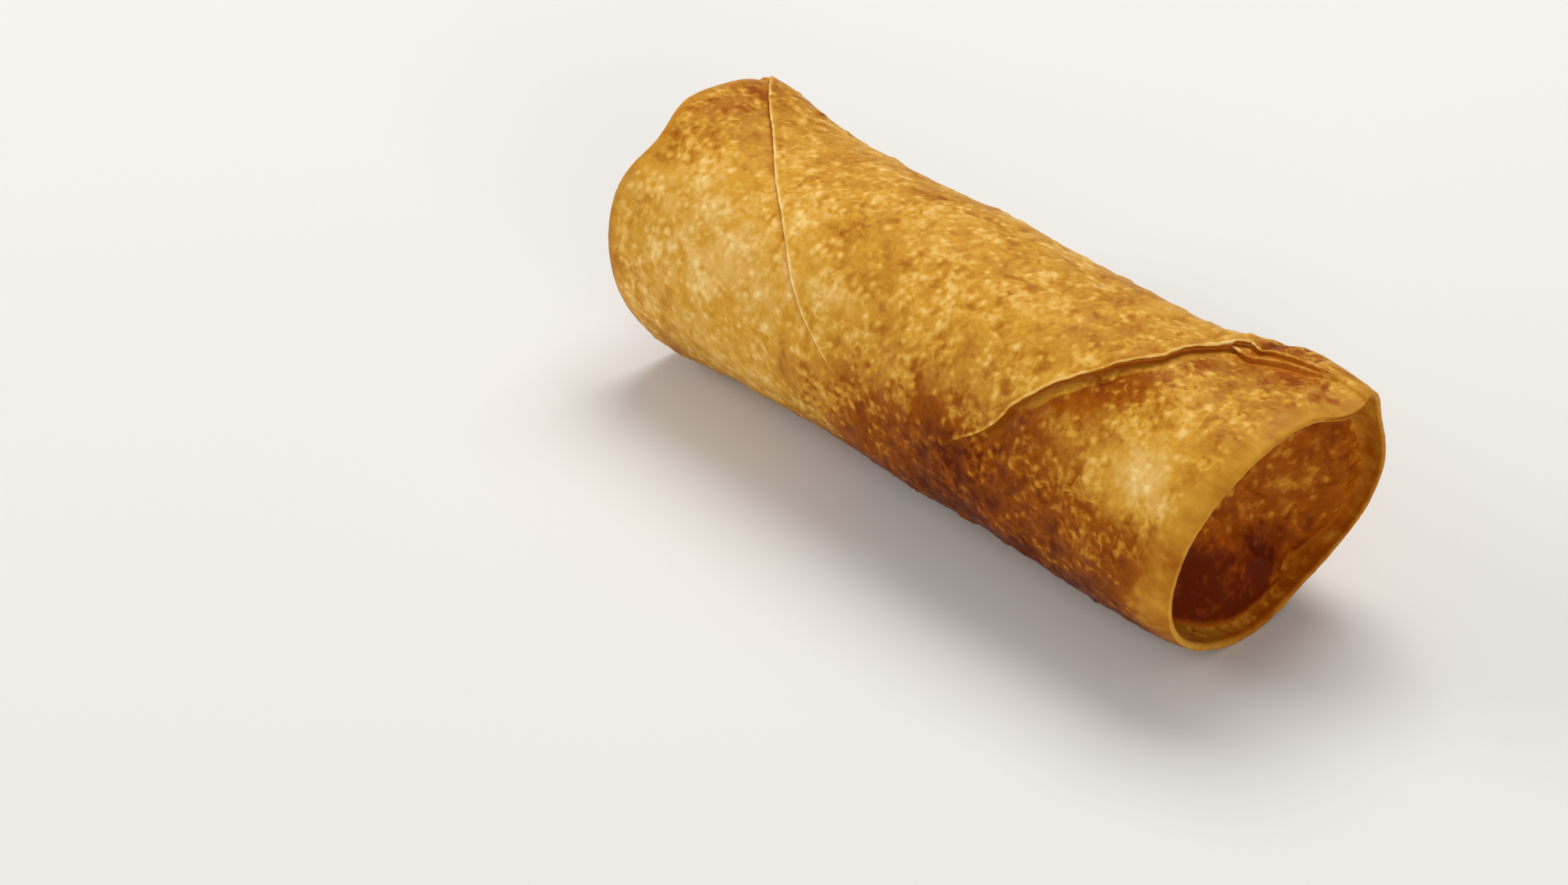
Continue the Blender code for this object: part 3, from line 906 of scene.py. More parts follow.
@dataclass(frozen=True)
class WoundSkin:
    """The whole pastry skin as one closed surface, from the middle of one hollow to the other."""

    body: RollBody
    flap: Flap
    collar: Collar
    near_hollow: EndHollow
    far_hollow: EndHollow
    toasting: ToastingAndShade = ToastingAndShade()
    fineness: Fineness = Fineness()
    rim_band: Span = (4.5 * MM, 8.5 * MM)
    rim_band_turns: Span = (110.0, 200.0)
    rim_band_start: float = 0.35
    far_rim_band: float = 3.0 * MM
    far_rim_band_start: float = 0.3
    rim_calm: float = 0.65
    rim_untoasted: float = 0.6
    rim_brown: Swell = Swell(-50.0, 42.0, 0.8)
    rim_toasting: Span = (0.3, 0.5)
    foot: Span = (0.3 * MM, 2.6 * MM)
    # A slit in the fold at the rim's corner; it also takes painted shade in the seam's colour.
    corner_slit: Swell = Swell(62.0, 7.0, 1.3 * MM)
    slit_place: Span = (0.52, 0.12)
    # Painted shade on the crust just past the flap's near lip, fading over a few millimetres.
    lee: Swell = Swell(132.0, 32.0, 0.75)
    lee_length: float = 5.0 * MM
    fold_inner: Span = (0.45, 1.0)
    # Painted hollow shade on the inner side of a rim's fold.
    fold_inside: float = 0.3
    fold_cover: float = 0.35
    wall_cover: float = 0.3
    wall_rim: float = 0.2
    wall_rim_end: float = 0.3
    lip_ramps: Span = (1.6, 1.2)
    far_low_turns: Span = (70.0, 115.0)
    far_thin_turns: Span = (60.0, 110.0)
    far_thinness: float = 0.55
    least_undercut: float = 0.08
    slope_start: float = 0.8
    slope_step: float = 0.25
    swing_ramp: float = 12.0
    under_way: Span = (0.4, 0.62)
    shut_way: Span = (0.3, 0.85)
    open_way: Span = (0.42, 0.62)
    far_step: Span = (0.6, 3.4)

    def outside(self, grid: SkinGrid, x: Any, turn: Any, level: Any, extra: dict[Mark, Any]) -> None:
        """Adds a column on the outside.

        Args:
            grid: The grid that it goes into.
            x: Station of each point.
            turn: Turn of each point.
            level: Level of each point.
            extra: Marks of the painted cut-edge highlight or painted seam shade that it lies on. COVER
                scales the relief there, and the toasting mark, browning with painted shade, is added to
                the browning.
        """
        turn = self.collar.drawn(x, turn)
        radius = self.body.radius(x, turn) + level - self.body.shoulder(x, turn)
        angle = np.radians(turn)
        points = self.body.place(x, radius * np.cos(angle), radius * np.sin(angle))
        marks = dict(extra)
        marks[Mark.RIM] = self.rim_share(x, turn)
        toast = self.toasting.at(x, turn) * (1.0 - self.rim_untoasted * marks[Mark.RIM])
        marks[Mark.TOAST] = toast + extra.get(Mark.TOAST, 0.0) * (1.0 - np.maximum(toast, 0.0))
        standing = smooth(*self.foot, points[:, 2])
        calm = 1.0 - self.rim_calm * marks[Mark.RIM]
        marks[Mark.COVER] = extra.get(Mark.COVER, 1.0) * standing * calm
        grid.add(points, marks)

    def rim_share(self, x: Any, turn: Any) -> Any:
        """How much a place belongs to the smooth band beside a rim.

        Args:
            x: Station along the roll.
            turn: Turn angle in degrees.

        Returns:
            1 on a rim, and 0 outside its band.
        """
        width = mix(*self.rim_band, smooth(*self.rim_band_turns, turn))
        near = (self.body.rim_station(turn, End.WIDE) - x) / width
        far = (x - self.body.rim_station(turn, End.NARROW)) / self.far_rim_band
        near, far = smooth(self.rim_band_start, 1.0, near), smooth(self.far_rim_band_start, 1.0, far)
        return 1.0 - np.minimum(near, far)

    def rim_toast(self, turn: Any, inner: Any) -> Any:
        """How toasted a rim's fold is: most where it turns inwards, and down the back."""
        return self.rim_brown.at(turn) * mix(*self.rim_toasting, inner)

    def rim_start(self, turns: Any, end: End) -> tuple[Any, Any, Any]:
        """Where the outside meets the fold of a rim.

        Args:
            turns: Turn of each row.
            end: The end that the rim belongs to.

        Returns:
            Drawn turn, x and radius on each row.
        """
        turn = self.collar.drawn(end.value * self.body.half_length, turns)
        x = self.body.fold_start(turn, end)
        level = self.collar.soft_level(turns) if end is End.WIDE else self.far_rim_level(turns)
        return turn, x, self.body.radius(x, turn) + level - self.body.rim_drop(turn, end)

    def lip(self, rows: Rows, guide: Any, near: bool) -> list[tuple[Any, Any, Any, dict[Mark, Any]]]:
        """The columns of one cut edge of the flap, in order from the flap outwards.

        Args:
            rows: The rows of the skin.
            guide: X of the edge on each row.
            near: Whether it is the near edge, which meets the collar.

        Returns:
            X, turn, level and marks of each column.
        """
        flap, turns = self.flap, rows.turns
        profile = flap.profile
        outer = self.outer_level(guide, turns)
        if near:
            side, start, line, ramp = 1, flap.near_open, flap.near_line, self.lip_ramps[1]
            lift = flap.lift + flap.near_lift.at(turns)
            sheet = flap.sheet + 0.0 * turns
            grounds = (self.collar.bulge(guide, turns), rows.open_levels)
            shuts = (outer, rows.open_levels)
        else:
            side, start, line, ramp = -1, flap.start, flap.far_line, self.lip_ramps[0]
            lift = mix(flap.lift, flap.far_lift, smooth(*self.far_low_turns, turns))
            sheet = flap.sheet * mix(1.0, self.far_thinness, smooth(*self.far_thin_turns, turns))
            grounds, shuts = (0.0 * turns, 0.0 * turns), (outer, outer)
        undercut = flap.undercut * mix(self.least_undercut, 1.0, smooth(flap.far_lift, flap.lift, lift))
        share = flap.openness(turns, start, ramp)
        step = self.slope_step
        at = np.clip(turns, start + self.slope_start, flap.sealed[1])
        slope = (line(at + step) - line(at - step)) / (2.0 * math.radians(step) * self.body.half_width)
        norm = np.hypot(1.0, slope)
        swing = np.degrees(-side * slope / norm / self.body.half_width)
        swing = swing * smooth(start, start + self.swing_ramp, turns)
        points = profile.points(lift, sheet, undercut)
        spread = np.linspace(-profile.top_reach, profile.foot_reach, len(points))
        columns = []
        for number, ((offset, height), (cut, seam)) in enumerate(zip(points, profile.marks())):
            way = number / (len(points) - 1)
            under = mix(*grounds, smooth(*self.under_way, way))
            shut = mix(*shuts, smooth(*self.shut_way, way))
            x = guide + side * mix(spread[number], offset / norm, share)
            opened = smooth(*self.open_way, way) if near else 0.0
            turn = mix(turns, rows.open_turns, opened) + share * swing * offset
            # Painted highlight on the cut edge and painted shade in the seam below it, as the profile's
            # marks give.
            marks = {
                Mark.CUT: np.maximum(cut * share, opened * rows.cut),
                Mark.SEAM: np.maximum(seam * share, opened * rows.seam),
                Mark.COVER: 1.0 - share * max(cut, seam),
            }
            columns.append((x, turn, mix(shut, height + under, share), marks))
        return columns

    def outer_level(self, x: Any, turn: Any) -> Any:
        """Level of the outermost sheet, with the collar below it."""
        return self.flap.level(turn) + self.collar.bulge(x, turn)

    def far_rim_level(self, turn: Any) -> Any:
        """Level of the narrow end's rim, which steps down one sheet where the flap's edge crosses it.

        Args:
            turn: Turn angle in degrees.

        Returns:
            The level at each turn.
        """
        past_edge = smooth(*self.far_step, turn - self.flap.start)
        covered = 1.0 - past_edge * (turn < self.flap.sunk)
        return self.outer_level(self.body.rim_station(turn, End.NARROW), turn) * covered

    def build(self) -> SkinGrid:
        """The grid of the whole skin, from the middle of the far hollow to that of the near one.

        Returns:
            The grid, which closes where its first and last columns end.
        """
        rows = Rows.planned(self.collar, self.fineness.row_spacing)
        far_guide, near_guide = self.flap.guides(rows.turns)
        far = self.lip(rows, far_guide, near=False)[::-1]
        near = self.lip(rows, near_guide, near=True)
        fine = self.fineness

        grid = self.hollow(rows, self.far_hollow).turned_round()
        start = (self.rim_start(rows.turns, End.NARROW)[1], rows.turns, self.far_rim_level(rows.turns))
        for share in np.linspace(0.0, 1.0, fine.far_band, endpoint=False):
            self.outside(grid, *(mix(a, b, share) for a, b in zip(start, far[0][:3])), {})
        for *column, marks in far:
            self.outside(grid, *column, marks)
        for share in np.linspace(0.0, 1.0, fine.flap + 1)[1:-1]:
            x, turn, level = (mix(a, b, share) for a, b in zip(far[-1][:3], near[0][:3]))
            blend = math.sqrt(math.sin(math.pi * share))
            self.outside(grid, x, turn, mix(level, self.outer_level(x, turn), blend), {})
        for *column, marks in near:
            self.outside(grid, *column, marks)
        finish = self.rim_start(rows.turns, End.WIDE)[1]
        gap_shade = self.collar.gap_shade(rows.open_turns)
        for share in np.linspace(0.0, 1.0, fine.near_band + 1)[1:]:
            x = mix(near[-1][0], finish, share)
            pressed = self.collar.pressed(x)
            turn = mix(mix(near[-1][1], rows.open_turns, share), rows.turns, pressed)
            level = mix(near[-1][2], rows.open_levels, share)
            level = mix(level, self.collar.soft_level(rows.turns), pressed)
            # Painted highlight on the collar's cut edges and painted shade in its gaps, fading where the
            # layers are pressed into one.
            cut = rows.cut * (1.0 - pressed)
            seam = np.maximum(rows.seam, gap_shade) * (1.0 - pressed)
            # Painted shade beside the near lip, added to the toasting.
            past_edge = np.maximum(x - near_guide, 0.0) / self.lee_length
            ridge = {
                Mark.CUT: cut,
                Mark.SEAM: seam,
                Mark.COVER: 1.0 - np.maximum(cut, seam),
                Mark.TOAST: self.lee.at(turn) * np.exp(-past_edge),
            }
            self.outside(grid, x, turn, level, ridge)
        hollow = self.hollow(rows, self.near_hollow)
        grid.points += hollow.points
        grid.marks += hollow.marks
        return grid

    def hollow(self, rows: Rows, hollow: EndHollow) -> SkinGrid:
        """One end: round its fold, down the wall and over the floor.

        Args:
            rows: The rows of the skin.
            hollow: The hollow of that end.

        Returns:
            Its columns, from the fold inwards.
        """
        grid, body, end, fine = SkinGrid(), self.body, hollow.end, self.fineness
        wide = end is End.WIDE
        turn, start_x, outer = self.rim_start(rows.turns, end)
        angle = np.radians(turn)
        fold = body.fold(turn)
        slope = body.rim_slope(turn, end)
        for share in np.linspace(0.0, 1.0, fine.fold + 1)[1:]:
            bend = mix(slope, math.pi, share)
            radius = outer - fold * (np.cos(slope) - np.cos(bend))
            slit = wide * self.corner_slit.at(turn) * bell(share, *self.slit_place)
            x = start_x + end.value * (fold * (np.sin(bend) - np.sin(slope)) - slit)
            points = body.place(x, radius * np.cos(angle), radius * np.sin(angle))
            inner = smooth(*self.fold_inner, share)
            marks = {
                Mark.RIM: 1.0,
                Mark.INSIDE: self.fold_inside * inner,
                Mark.COVER: self.fold_cover * smooth(*self.foot, points[:, 2]),
                Mark.TOAST: self.rim_toast(turn, inner),
                # painted shade in the slit at the rim's corner
                Mark.SEAM: slit / self.corner_slit.height,
            }
            grid.add(points, marks)
        flat = radius * np.cos(angle), radius * np.sin(angle)
        bare = hollow.back_wall_light.at(turn)
        for share in np.linspace(0.0, 1.0, (fine.near_wall if wide else fine.far_wall) + 1)[1:]:
            y, z = hollow.across(*flat, 1.0 - hollow.draft * share**2)
            x = mix(start_x, hollow.floor_x(y, z, -hollow.floor_play), share)
            deep = smooth(*hollow.shade_depths, np.abs(start_x - x))
            # Deeper in, the wall takes painted hollow shade, and painted shade low down that is eased
            # where light falls in.
            marks = {
                Mark.RIM: mix(1.0, self.wall_rim + bare, smooth(0.0, self.wall_rim_end, share)),
                Mark.INSIDE: mix(self.fold_inside, 1.0 - bare, deep),
                Mark.COVER: self.wall_cover,
                Mark.TOAST: mix(self.rim_toast(turn, 1.0), hollow.wall_shade(turn), deep),
            }
            grid.add(body.place(x, y, z), marks)
        # The floor of the hollow takes the full painted hollow shade.
        for share in np.linspace(1.0, 0.0, fine.floor + 1)[1:]:
            y, z = hollow.across(*flat, (1.0 - hollow.draft) * share)
            x = hollow.floor_x(y, z, -hollow.floor_play)
            grid.add(body.place(x, y, z), {Mark.INSIDE: 1.0})
        return grid


@dataclass(frozen=True)
class TuckedPastry:
    """The pastry tucked into one end: a crumpled cap that closes the hollow, bedded into its wall."""

    skin: WoundSkin
    hollow: EndHollow
    turns: int = 230
    rings: int = 58
    bed: float = 1.05
    bedding: float = 2.2 * MM
    back_shares: tuple[float, ...] = (1.0, 0.6, 0.0)
    pleat_height: float = 0.55 * MM
    pleat_angle: float = 35.0
    pleat_offset: float = 3.4 * MM
    pleat_width: float = 0.9 * MM
    pleat_wave: float = 0.9 * MM
    pleat_wave_length: float = 4.2 * MM
    crumple: Fray = Fray(21, 0.2 * MM, waves=9, length_range=(24.0, 90.0))
    ridge_side: Swell = Swell(-22.0, 34.0, 1.0)
    ridge_ring: Span = (0.84, 0.055)
    ridge_height: float = 1.0 * MM
    # Painted shade darkens the cap towards its lower side, where the front wall shades it, and the
    # raised ridge is painted lighter as a highlight.
    lower_shade_span: Span = (-1.0 * MM, -10.0 * MM)
    lower_shade_lean: float = 0.25
    ridge_highlight: float = 0.75
    # Browning and hollow shade of the cap, rising from its upper part to its lower part in painted
    # shade.
    toast: Span = (0.6, 1.0)
    inside: Span = (0.3, 1.0)
    cover_end: float = 0.93
    # Painted shade where the cap meets the wall, less where light falls in from the front.
    seam: float = 0.8
    seam_start: Span = (0.9, 0.97)

    def build(self) -> SkinGrid:
        """The cap's grid, from the middle of its face over its edge to the middle of its back.

        Returns:
            The cap's grid, which closes in the middle of its face and its back.
        """
        body, hollow, grid = self.skin.body, self.hollow, SkinGrid()
        nominal = np.linspace(0.0, FULL_TURN, self.turns, endpoint=False)
        turn, _, outer = self.skin.rim_start(nominal, hollow.end)
        angle = np.radians(turn)
        inner = outer - body.fold(turn) * (1.0 + np.cos(body.rim_slope(turn, hollow.end)))
        flat = inner * np.cos(angle), inner * np.sin(angle)
        reach = (1.0 - hollow.draft) * self.bed
        seam = self.seam * (1.0 - hollow.lit_wall.at(nominal))
        for share in np.linspace(0.0, 1.0, self.rings):
            y, z = hollow.across(*flat, reach * share)
            ridge = self.ridge_side.at(nominal) * bell(share, *self.ridge_ring)
            rise = self.folds(y, z, nominal, share) + self.ridge_height * ridge
            # painted shade towards the lower side, eased on the ridge as a painted highlight
            lower_shade = smooth(*self.lower_shade_span, z + self.lower_shade_lean * y) * (1.0 - self.ridge_highlight * ridge)
            marks = {
                Mark.COVER: 1.0 - smooth(self.cover_end, 1.0, share),
                Mark.INSIDE: mix(*self.inside, lower_shade),
                Mark.TOAST: mix(*self.toast, lower_shade),
                Mark.SEAM: seam * smooth(*self.seam_start, share),
            }
            grid.add(body.place(hollow.floor_x(y, z, rise), y, z), marks)
        for share in self.back_shares:
            y, z = hollow.across(*flat, reach * share)
            grid.add(body.place(hollow.floor_x(y, z, -self.bedding), y, z), {Mark.INSIDE: 1.0})
        return grid

    def folds(self, y: Any, z: Any, turn: Any, share: float) -> Any:
        """Height of the folded layers and crumples of the tucked-in pastry over its plain floor.

        Args:
            y: Place across the roll.
            z: Height over the middle line.
            turn: Turn angle in degrees.
            share: Share of the way from the middle to the edge.

        Returns:
            The height at each place.
        """
        lean = math.radians(self.pleat_angle)
        across = y * math.cos(lean) + z * math.sin(lean)
        along = z * math.cos(lean) - y * math.sin(lean)
        wave = self.pleat_wave * np.sin(along / self.pleat_wave_length)
        pleat = smooth(0.0, self.pleat_width, across - self.pleat_offset + wave)
        crumple = self.crumple.at(turn) * math.sin(math.pi * share) * share
        return self.pleat_height * pleat + crumple


class TreeMaker:
    """Adds nodes to a node tree, with inputs given as values or as the sockets that feed them."""

    def __init__(self, tree: bpy.types.NodeTree) -> None:
        """Works on one tree."""
        self.tree = tree

    def add(self, kind: str, inputs: dict[Any, Any] | None = None, **settings: Any) -> bpy.types.Node:
        """One node.

        Args:
            kind: The node's type name.
            inputs: Value or feeding socket for each input, by name or number.
            settings: Other properties of the node.

        Returns:
            The new node.
        """
        node = self.tree.nodes.new(kind)
        for name, value in settings.items():
            setattr(node, name, value)
        for key, value in (inputs or {}).items():
            if isinstance(value, bpy.types.NodeSocket):
                self.tree.links.new(value, node.inputs[key])
            else:
                node.inputs[key].default_value = value
        return node

    def math(self, operation: str, *values: Any) -> bpy.types.NodeSocket:
        """The result of one sum on numbers."""
        return self.add("ShaderNodeMath", dict(enumerate(values)), operation=operation).outputs[0]

    def vector(self, operation: str, *values: Any) -> bpy.types.NodeSocket:
        """The result of one sum on vectors."""
        inputs = dict(enumerate(values))
        return self.add("ShaderNodeVectorMath", inputs, operation=operation).outputs[0]

    def scaled(self, vector: Any, scale: Any) -> bpy.types.NodeSocket:
        """A vector times a number."""
        inputs = {0: vector, "Scale": scale}
        return self.add("ShaderNodeVectorMath", inputs, operation="SCALE").outputs[0]

    def ramp(self, value: Any, low: float, high: float, start: float = 0.0, end: float = 1.0) -> Any:
        """A value turned softly from the span low to high into the span start to end."""
        inputs = {"Value": value, "From Min": low, "From Max": high, "To Min": start, "To Max": end}
        return self.add("ShaderNodeMapRange", inputs, interpolation_type="SMOOTHSTEP").outputs["Result"]

    def noise(self, position: Any, scale: float, detail: float, roughness: float = 0.5) -> Any:
        """The outputs of a noise texture in three dimensions."""
        inputs = {"Vector": position, "Scale": scale, "Detail": detail, "Roughness": roughness}
        return self.add("ShaderNodeTexNoise", inputs, noise_dimensions="3D").outputs

    def centred(self, value: Any) -> bpy.types.NodeSocket:
        """A value from 0 to 1 moved to lie about 0."""
        return self.math("SUBTRACT", value, 0.5)

    def warped(self, position: Any, scale: float, amount: float) -> bpy.types.NodeSocket:
        """A position pushed about by noise, so that a pattern read from it is irregular.

        Args:
            position: The position to start from.
            scale: Scale of the noise.
            amount: How far it pushes.

        Returns:
            The pushed position.
        """
        noise = self.noise(position, scale, 1.0)["Color"]
        push = self.vector("SUBTRACT", noise, (0.5, 0.5, 0.5))
        return self.vector("ADD", position, self.scaled(push, amount))

    def socket(self, name: str, kind: str, side: str = "INPUT", value: Any = None) -> Any:
        """A named input or output of the whole tree.

        Args:
            name: Name of the socket.
            kind: Its type name.
            side: INPUT or OUTPUT.
            value: The value that it starts from.

        Returns:
            The new interface socket.
        """
        made = self.tree.interface.new_socket(name=name, in_out=side, socket_type=kind)
        if value is not None:
            made.default_value = value
        return made


@dataclass(frozen=True)
class CrustRelief:
    """Geometry Nodes that raise blisters, pimples and ripples on a pastry surface.

    Each size is the distance from one to the next, and each height is over the smooth surface.
    """

    blister_size: float = 2.6 * MM
    blister_height: float = 0.34 * MM
    pimple_size: float = 1.15 * MM
    pimple_height: float = 0.12 * MM
    ripple_size: float = 4.5 * MM
    ripple_height: float = 0.5 * MM

    FLAT_BLISTERS: ClassVar[float] = 0.42
    FLAT_PIMPLES: ClassVar[float] = 0.1
    BLISTERS_RAISE: ClassVar[float] = 0.8
    PIMPLES_RAISE: ClassVar[float] = 0.45
    DOME_WARP: ClassVar[Span] = (1.3, 0.55)
    DOME_REACH: ClassVar[Span] = (0.62, 0.08)

    def sizes(self) -> dict[str, float]:
        """The sizes and heights, by the names of the tree's inputs."""
        return {name.replace("_", " ").title(): value for name, value in vars(self).items()}

    def tree(self) -> bpy.types.NodeTree:
        """The node tree, with its sizes as named inputs.

        Returns:
            The tree, ready for a modifier.
        """
        tree = bpy.data.node_groups.new("crust_relief", "GeometryNodeTree")
        tree.is_modifier = True
        maker = TreeMaker(tree)
        maker.socket("Surface", "NodeSocketGeometry")
        for label in self.sizes():
            maker.socket(label, "NodeSocketFloat", value=MM)
        maker.socket("Finish", "NodeSocketMaterial")
        maker.socket("Surface", "NodeSocketGeometry", "OUTPUT")
        given = maker.add("NodeGroupInput").outputs
        position = maker.add("GeometryNodeInputPosition").outputs[0]
        blisters = self.domes(maker, position, given["Blister Size"], self.FLAT_BLISTERS)
        pimples = self.domes(maker, position, given["Pimple Size"], self.FLAT_PIMPLES)
        rippled = maker.scaled(position, maker.math("DIVIDE", 1.0, given["Ripple Size"]))
        wave = maker.centred(maker.noise(rippled, 1.0, 2.0)[0])
        height = maker.math("MULTIPLY", blisters, given["Blister Height"])
        height = maker.math("MULTIPLY_ADD", pimples, given["Pimple Height"], height)
        height = maker.math("MULTIPLY_ADD", wave, given["Ripple Height"], height)
        rise = maker.math("MULTIPLY", height, self.carried(maker, Mark.COVER.value))
        raised = maker.math("MULTIPLY", blisters, self.BLISTERS_RAISE)
        raised = maker.math("MULTIPLY_ADD", pimples, self.PIMPLES_RAISE, raised)
        stored = given["Surface"]
        for name, value in (("rise", rise), ("raised", raised)):
            inputs = {"Geometry": stored, "Name": name, "Value": value}
            kind = "GeometryNodeStoreNamedAttribute"
            stored = maker.add(kind, inputs, data_type="FLOAT", domain="POINT").outputs["Geometry"]
        normal = maker.add("GeometryNodeInputNormal").outputs[0]
        offset = maker.scaled(normal, self.carried(maker, "rise"))
        moved = maker.add("GeometryNodeSetPosition", {"Geometry": stored, "Offset": offset}).outputs[0]
        real = maker.add("GeometryNodeRealizeInstances", {"Geometry": moved}).outputs[0]
        dressed = maker.add("GeometryNodeSetMaterial", {"Geometry": real, "Material": given["Finish"]})
        maker.add("NodeGroupOutput", {"Surface": dressed.outputs[0]})
        return tree

    @staticmethod
    def domes(maker: TreeMaker, position: Any, size: Any, rarity: float) -> bpy.types.NodeSocket:
        """Round domes of uneven height, scattered over a surface.

        Args:
            maker: The tree's maker.
            position: Place of each point.
            size: Distance from one dome to the next.
            rarity: Share of the domes that stay flat.

        Returns:
            Height of the domes, from 0 to 1.
        """
        place = maker.scaled(position, maker.math("DIVIDE", 1.0, size))
        place = maker.warped(place, *CrustRelief.DOME_WARP)
        inputs = {"Vector": place, "Scale": 1.0, "Randomness": 1.0}
        cells = maker.add("ShaderNodeTexVoronoi", inputs, voronoi_dimensions="3D", feature="F1")
        dome = maker.ramp(cells.outputs["Distance"], *CrustRelief.DOME_REACH)
        channels = maker.add("ShaderNodeSeparateXYZ", {0: cells.outputs["Color"]})
        return maker.math("MULTIPLY", dome, maker.ramp(channels.outputs[0], rarity, 1.0))

    @staticmethod
    def carried(maker: TreeMaker, name: str) -> bpy.types.NodeSocket:
        """A value that each point of the surface carries."""
        inputs = {"Name": name}
        return maker.add("GeometryNodeInputNamedAttribute", inputs, data_type="FLOAT").outputs[0]

    def raise_on(
        self, piece: bpy.types.Object, tree: bpy.types.NodeTree, finish: bpy.types.Material
    ) -> None:
        """Gives a piece the relief, as part of its plain mesh.

        Args:
            piece: The piece, with a mesh that carries the marks.
            tree: The tree that tree() made.
            finish: The material that the piece is dressed in.
        """
        modifier = piece.modifiers.new("crust_relief", "NODES")
        modifier.node_group = tree
        values = {**self.sizes(), "Finish": finish}
        for item in tree.interface.items_tree:
            if item.in_out == "INPUT" and item.name in values:
                modifier[item.identifier] = values[item.name]
        bake_modifiers(piece)


def bake_modifiers(piece: bpy.types.Object) -> None:
    """Turns a piece's evaluated shape into its plain mesh and takes its modifiers off.

    Args:
        piece: The piece, which keeps its materials and marks.
    """
    bpy.context.view_layer.update()
    graph = bpy.context.evaluated_depsgraph_get()
    plain = bpy.data.meshes.new_from_object(
        piece.evaluated_get(graph), preserve_all_data_layers=True, depsgraph=graph
    )
    piece.modifiers.clear()
    piece.data = plain
    plain.name = piece.name


def shader_group(name: str, numbers: dict[str, float], results: tuple[str, ...]) -> TreeMaker:
    """An empty shader node group that reads a position in millimetres and some numbers.

    Args:
        name: Name of the group.
        numbers: Its inputs, with the values that they start from.
        results: Its outputs.

    Returns:
        The maker of its tree.
    """
    maker = TreeMaker(bpy.data.node_groups.new(name, "ShaderNodeTree"))
    maker.socket("Position", "NodeSocketVector")
    for label, value in numbers.items():
        maker.socket(label, "NodeSocketFloat", value=value)
    for label in results:
        maker.socket(label, "NodeSocketFloat", "OUTPUT")
    return maker


@dataclass(frozen=True)
class UnevenBrowning:
    """Shader group of large blotches with smaller patches in them. Its tone is about 0.

    Here and in the next two groups, a noise is its scale, its detail and, where it isn't 0.5, its
    roughness, and a warp is the scale of its noise and how many millimetres it pushes.
    """

    warp: Span = (0.12, 6.0)
    blotches: Noise = (0.115, 2.0)
    patches: Noise = (0.42, 3.0, 0.6)

    INPUTS: ClassVar[dict[str, float]] = {"Blotch Strength": 0.6, "Patch Strength": 0.5}

    def tree(self) -> bpy.types.NodeTree:
        """The group's node tree.

        Returns:
            The tree, with the tone as its output.
        """
        maker = shader_group("uneven_browning", self.INPUTS, ("Tone",))
        given = maker.add("NodeGroupInput").outputs
        place = maker.warped(given["Position"], *self.warp)
        blotch = maker.centred(maker.noise(place, *self.blotches)[0])
        patch = maker.centred(maker.noise(place, *self.patches)[0])
        tone = maker.math("MULTIPLY", blotch, given["Blotch Strength"])
        tone = maker.math("MULTIPLY_ADD", patch, given["Patch Strength"], tone)
        maker.add("NodeGroupOutput", {"Tone": tone})
        return maker.tree


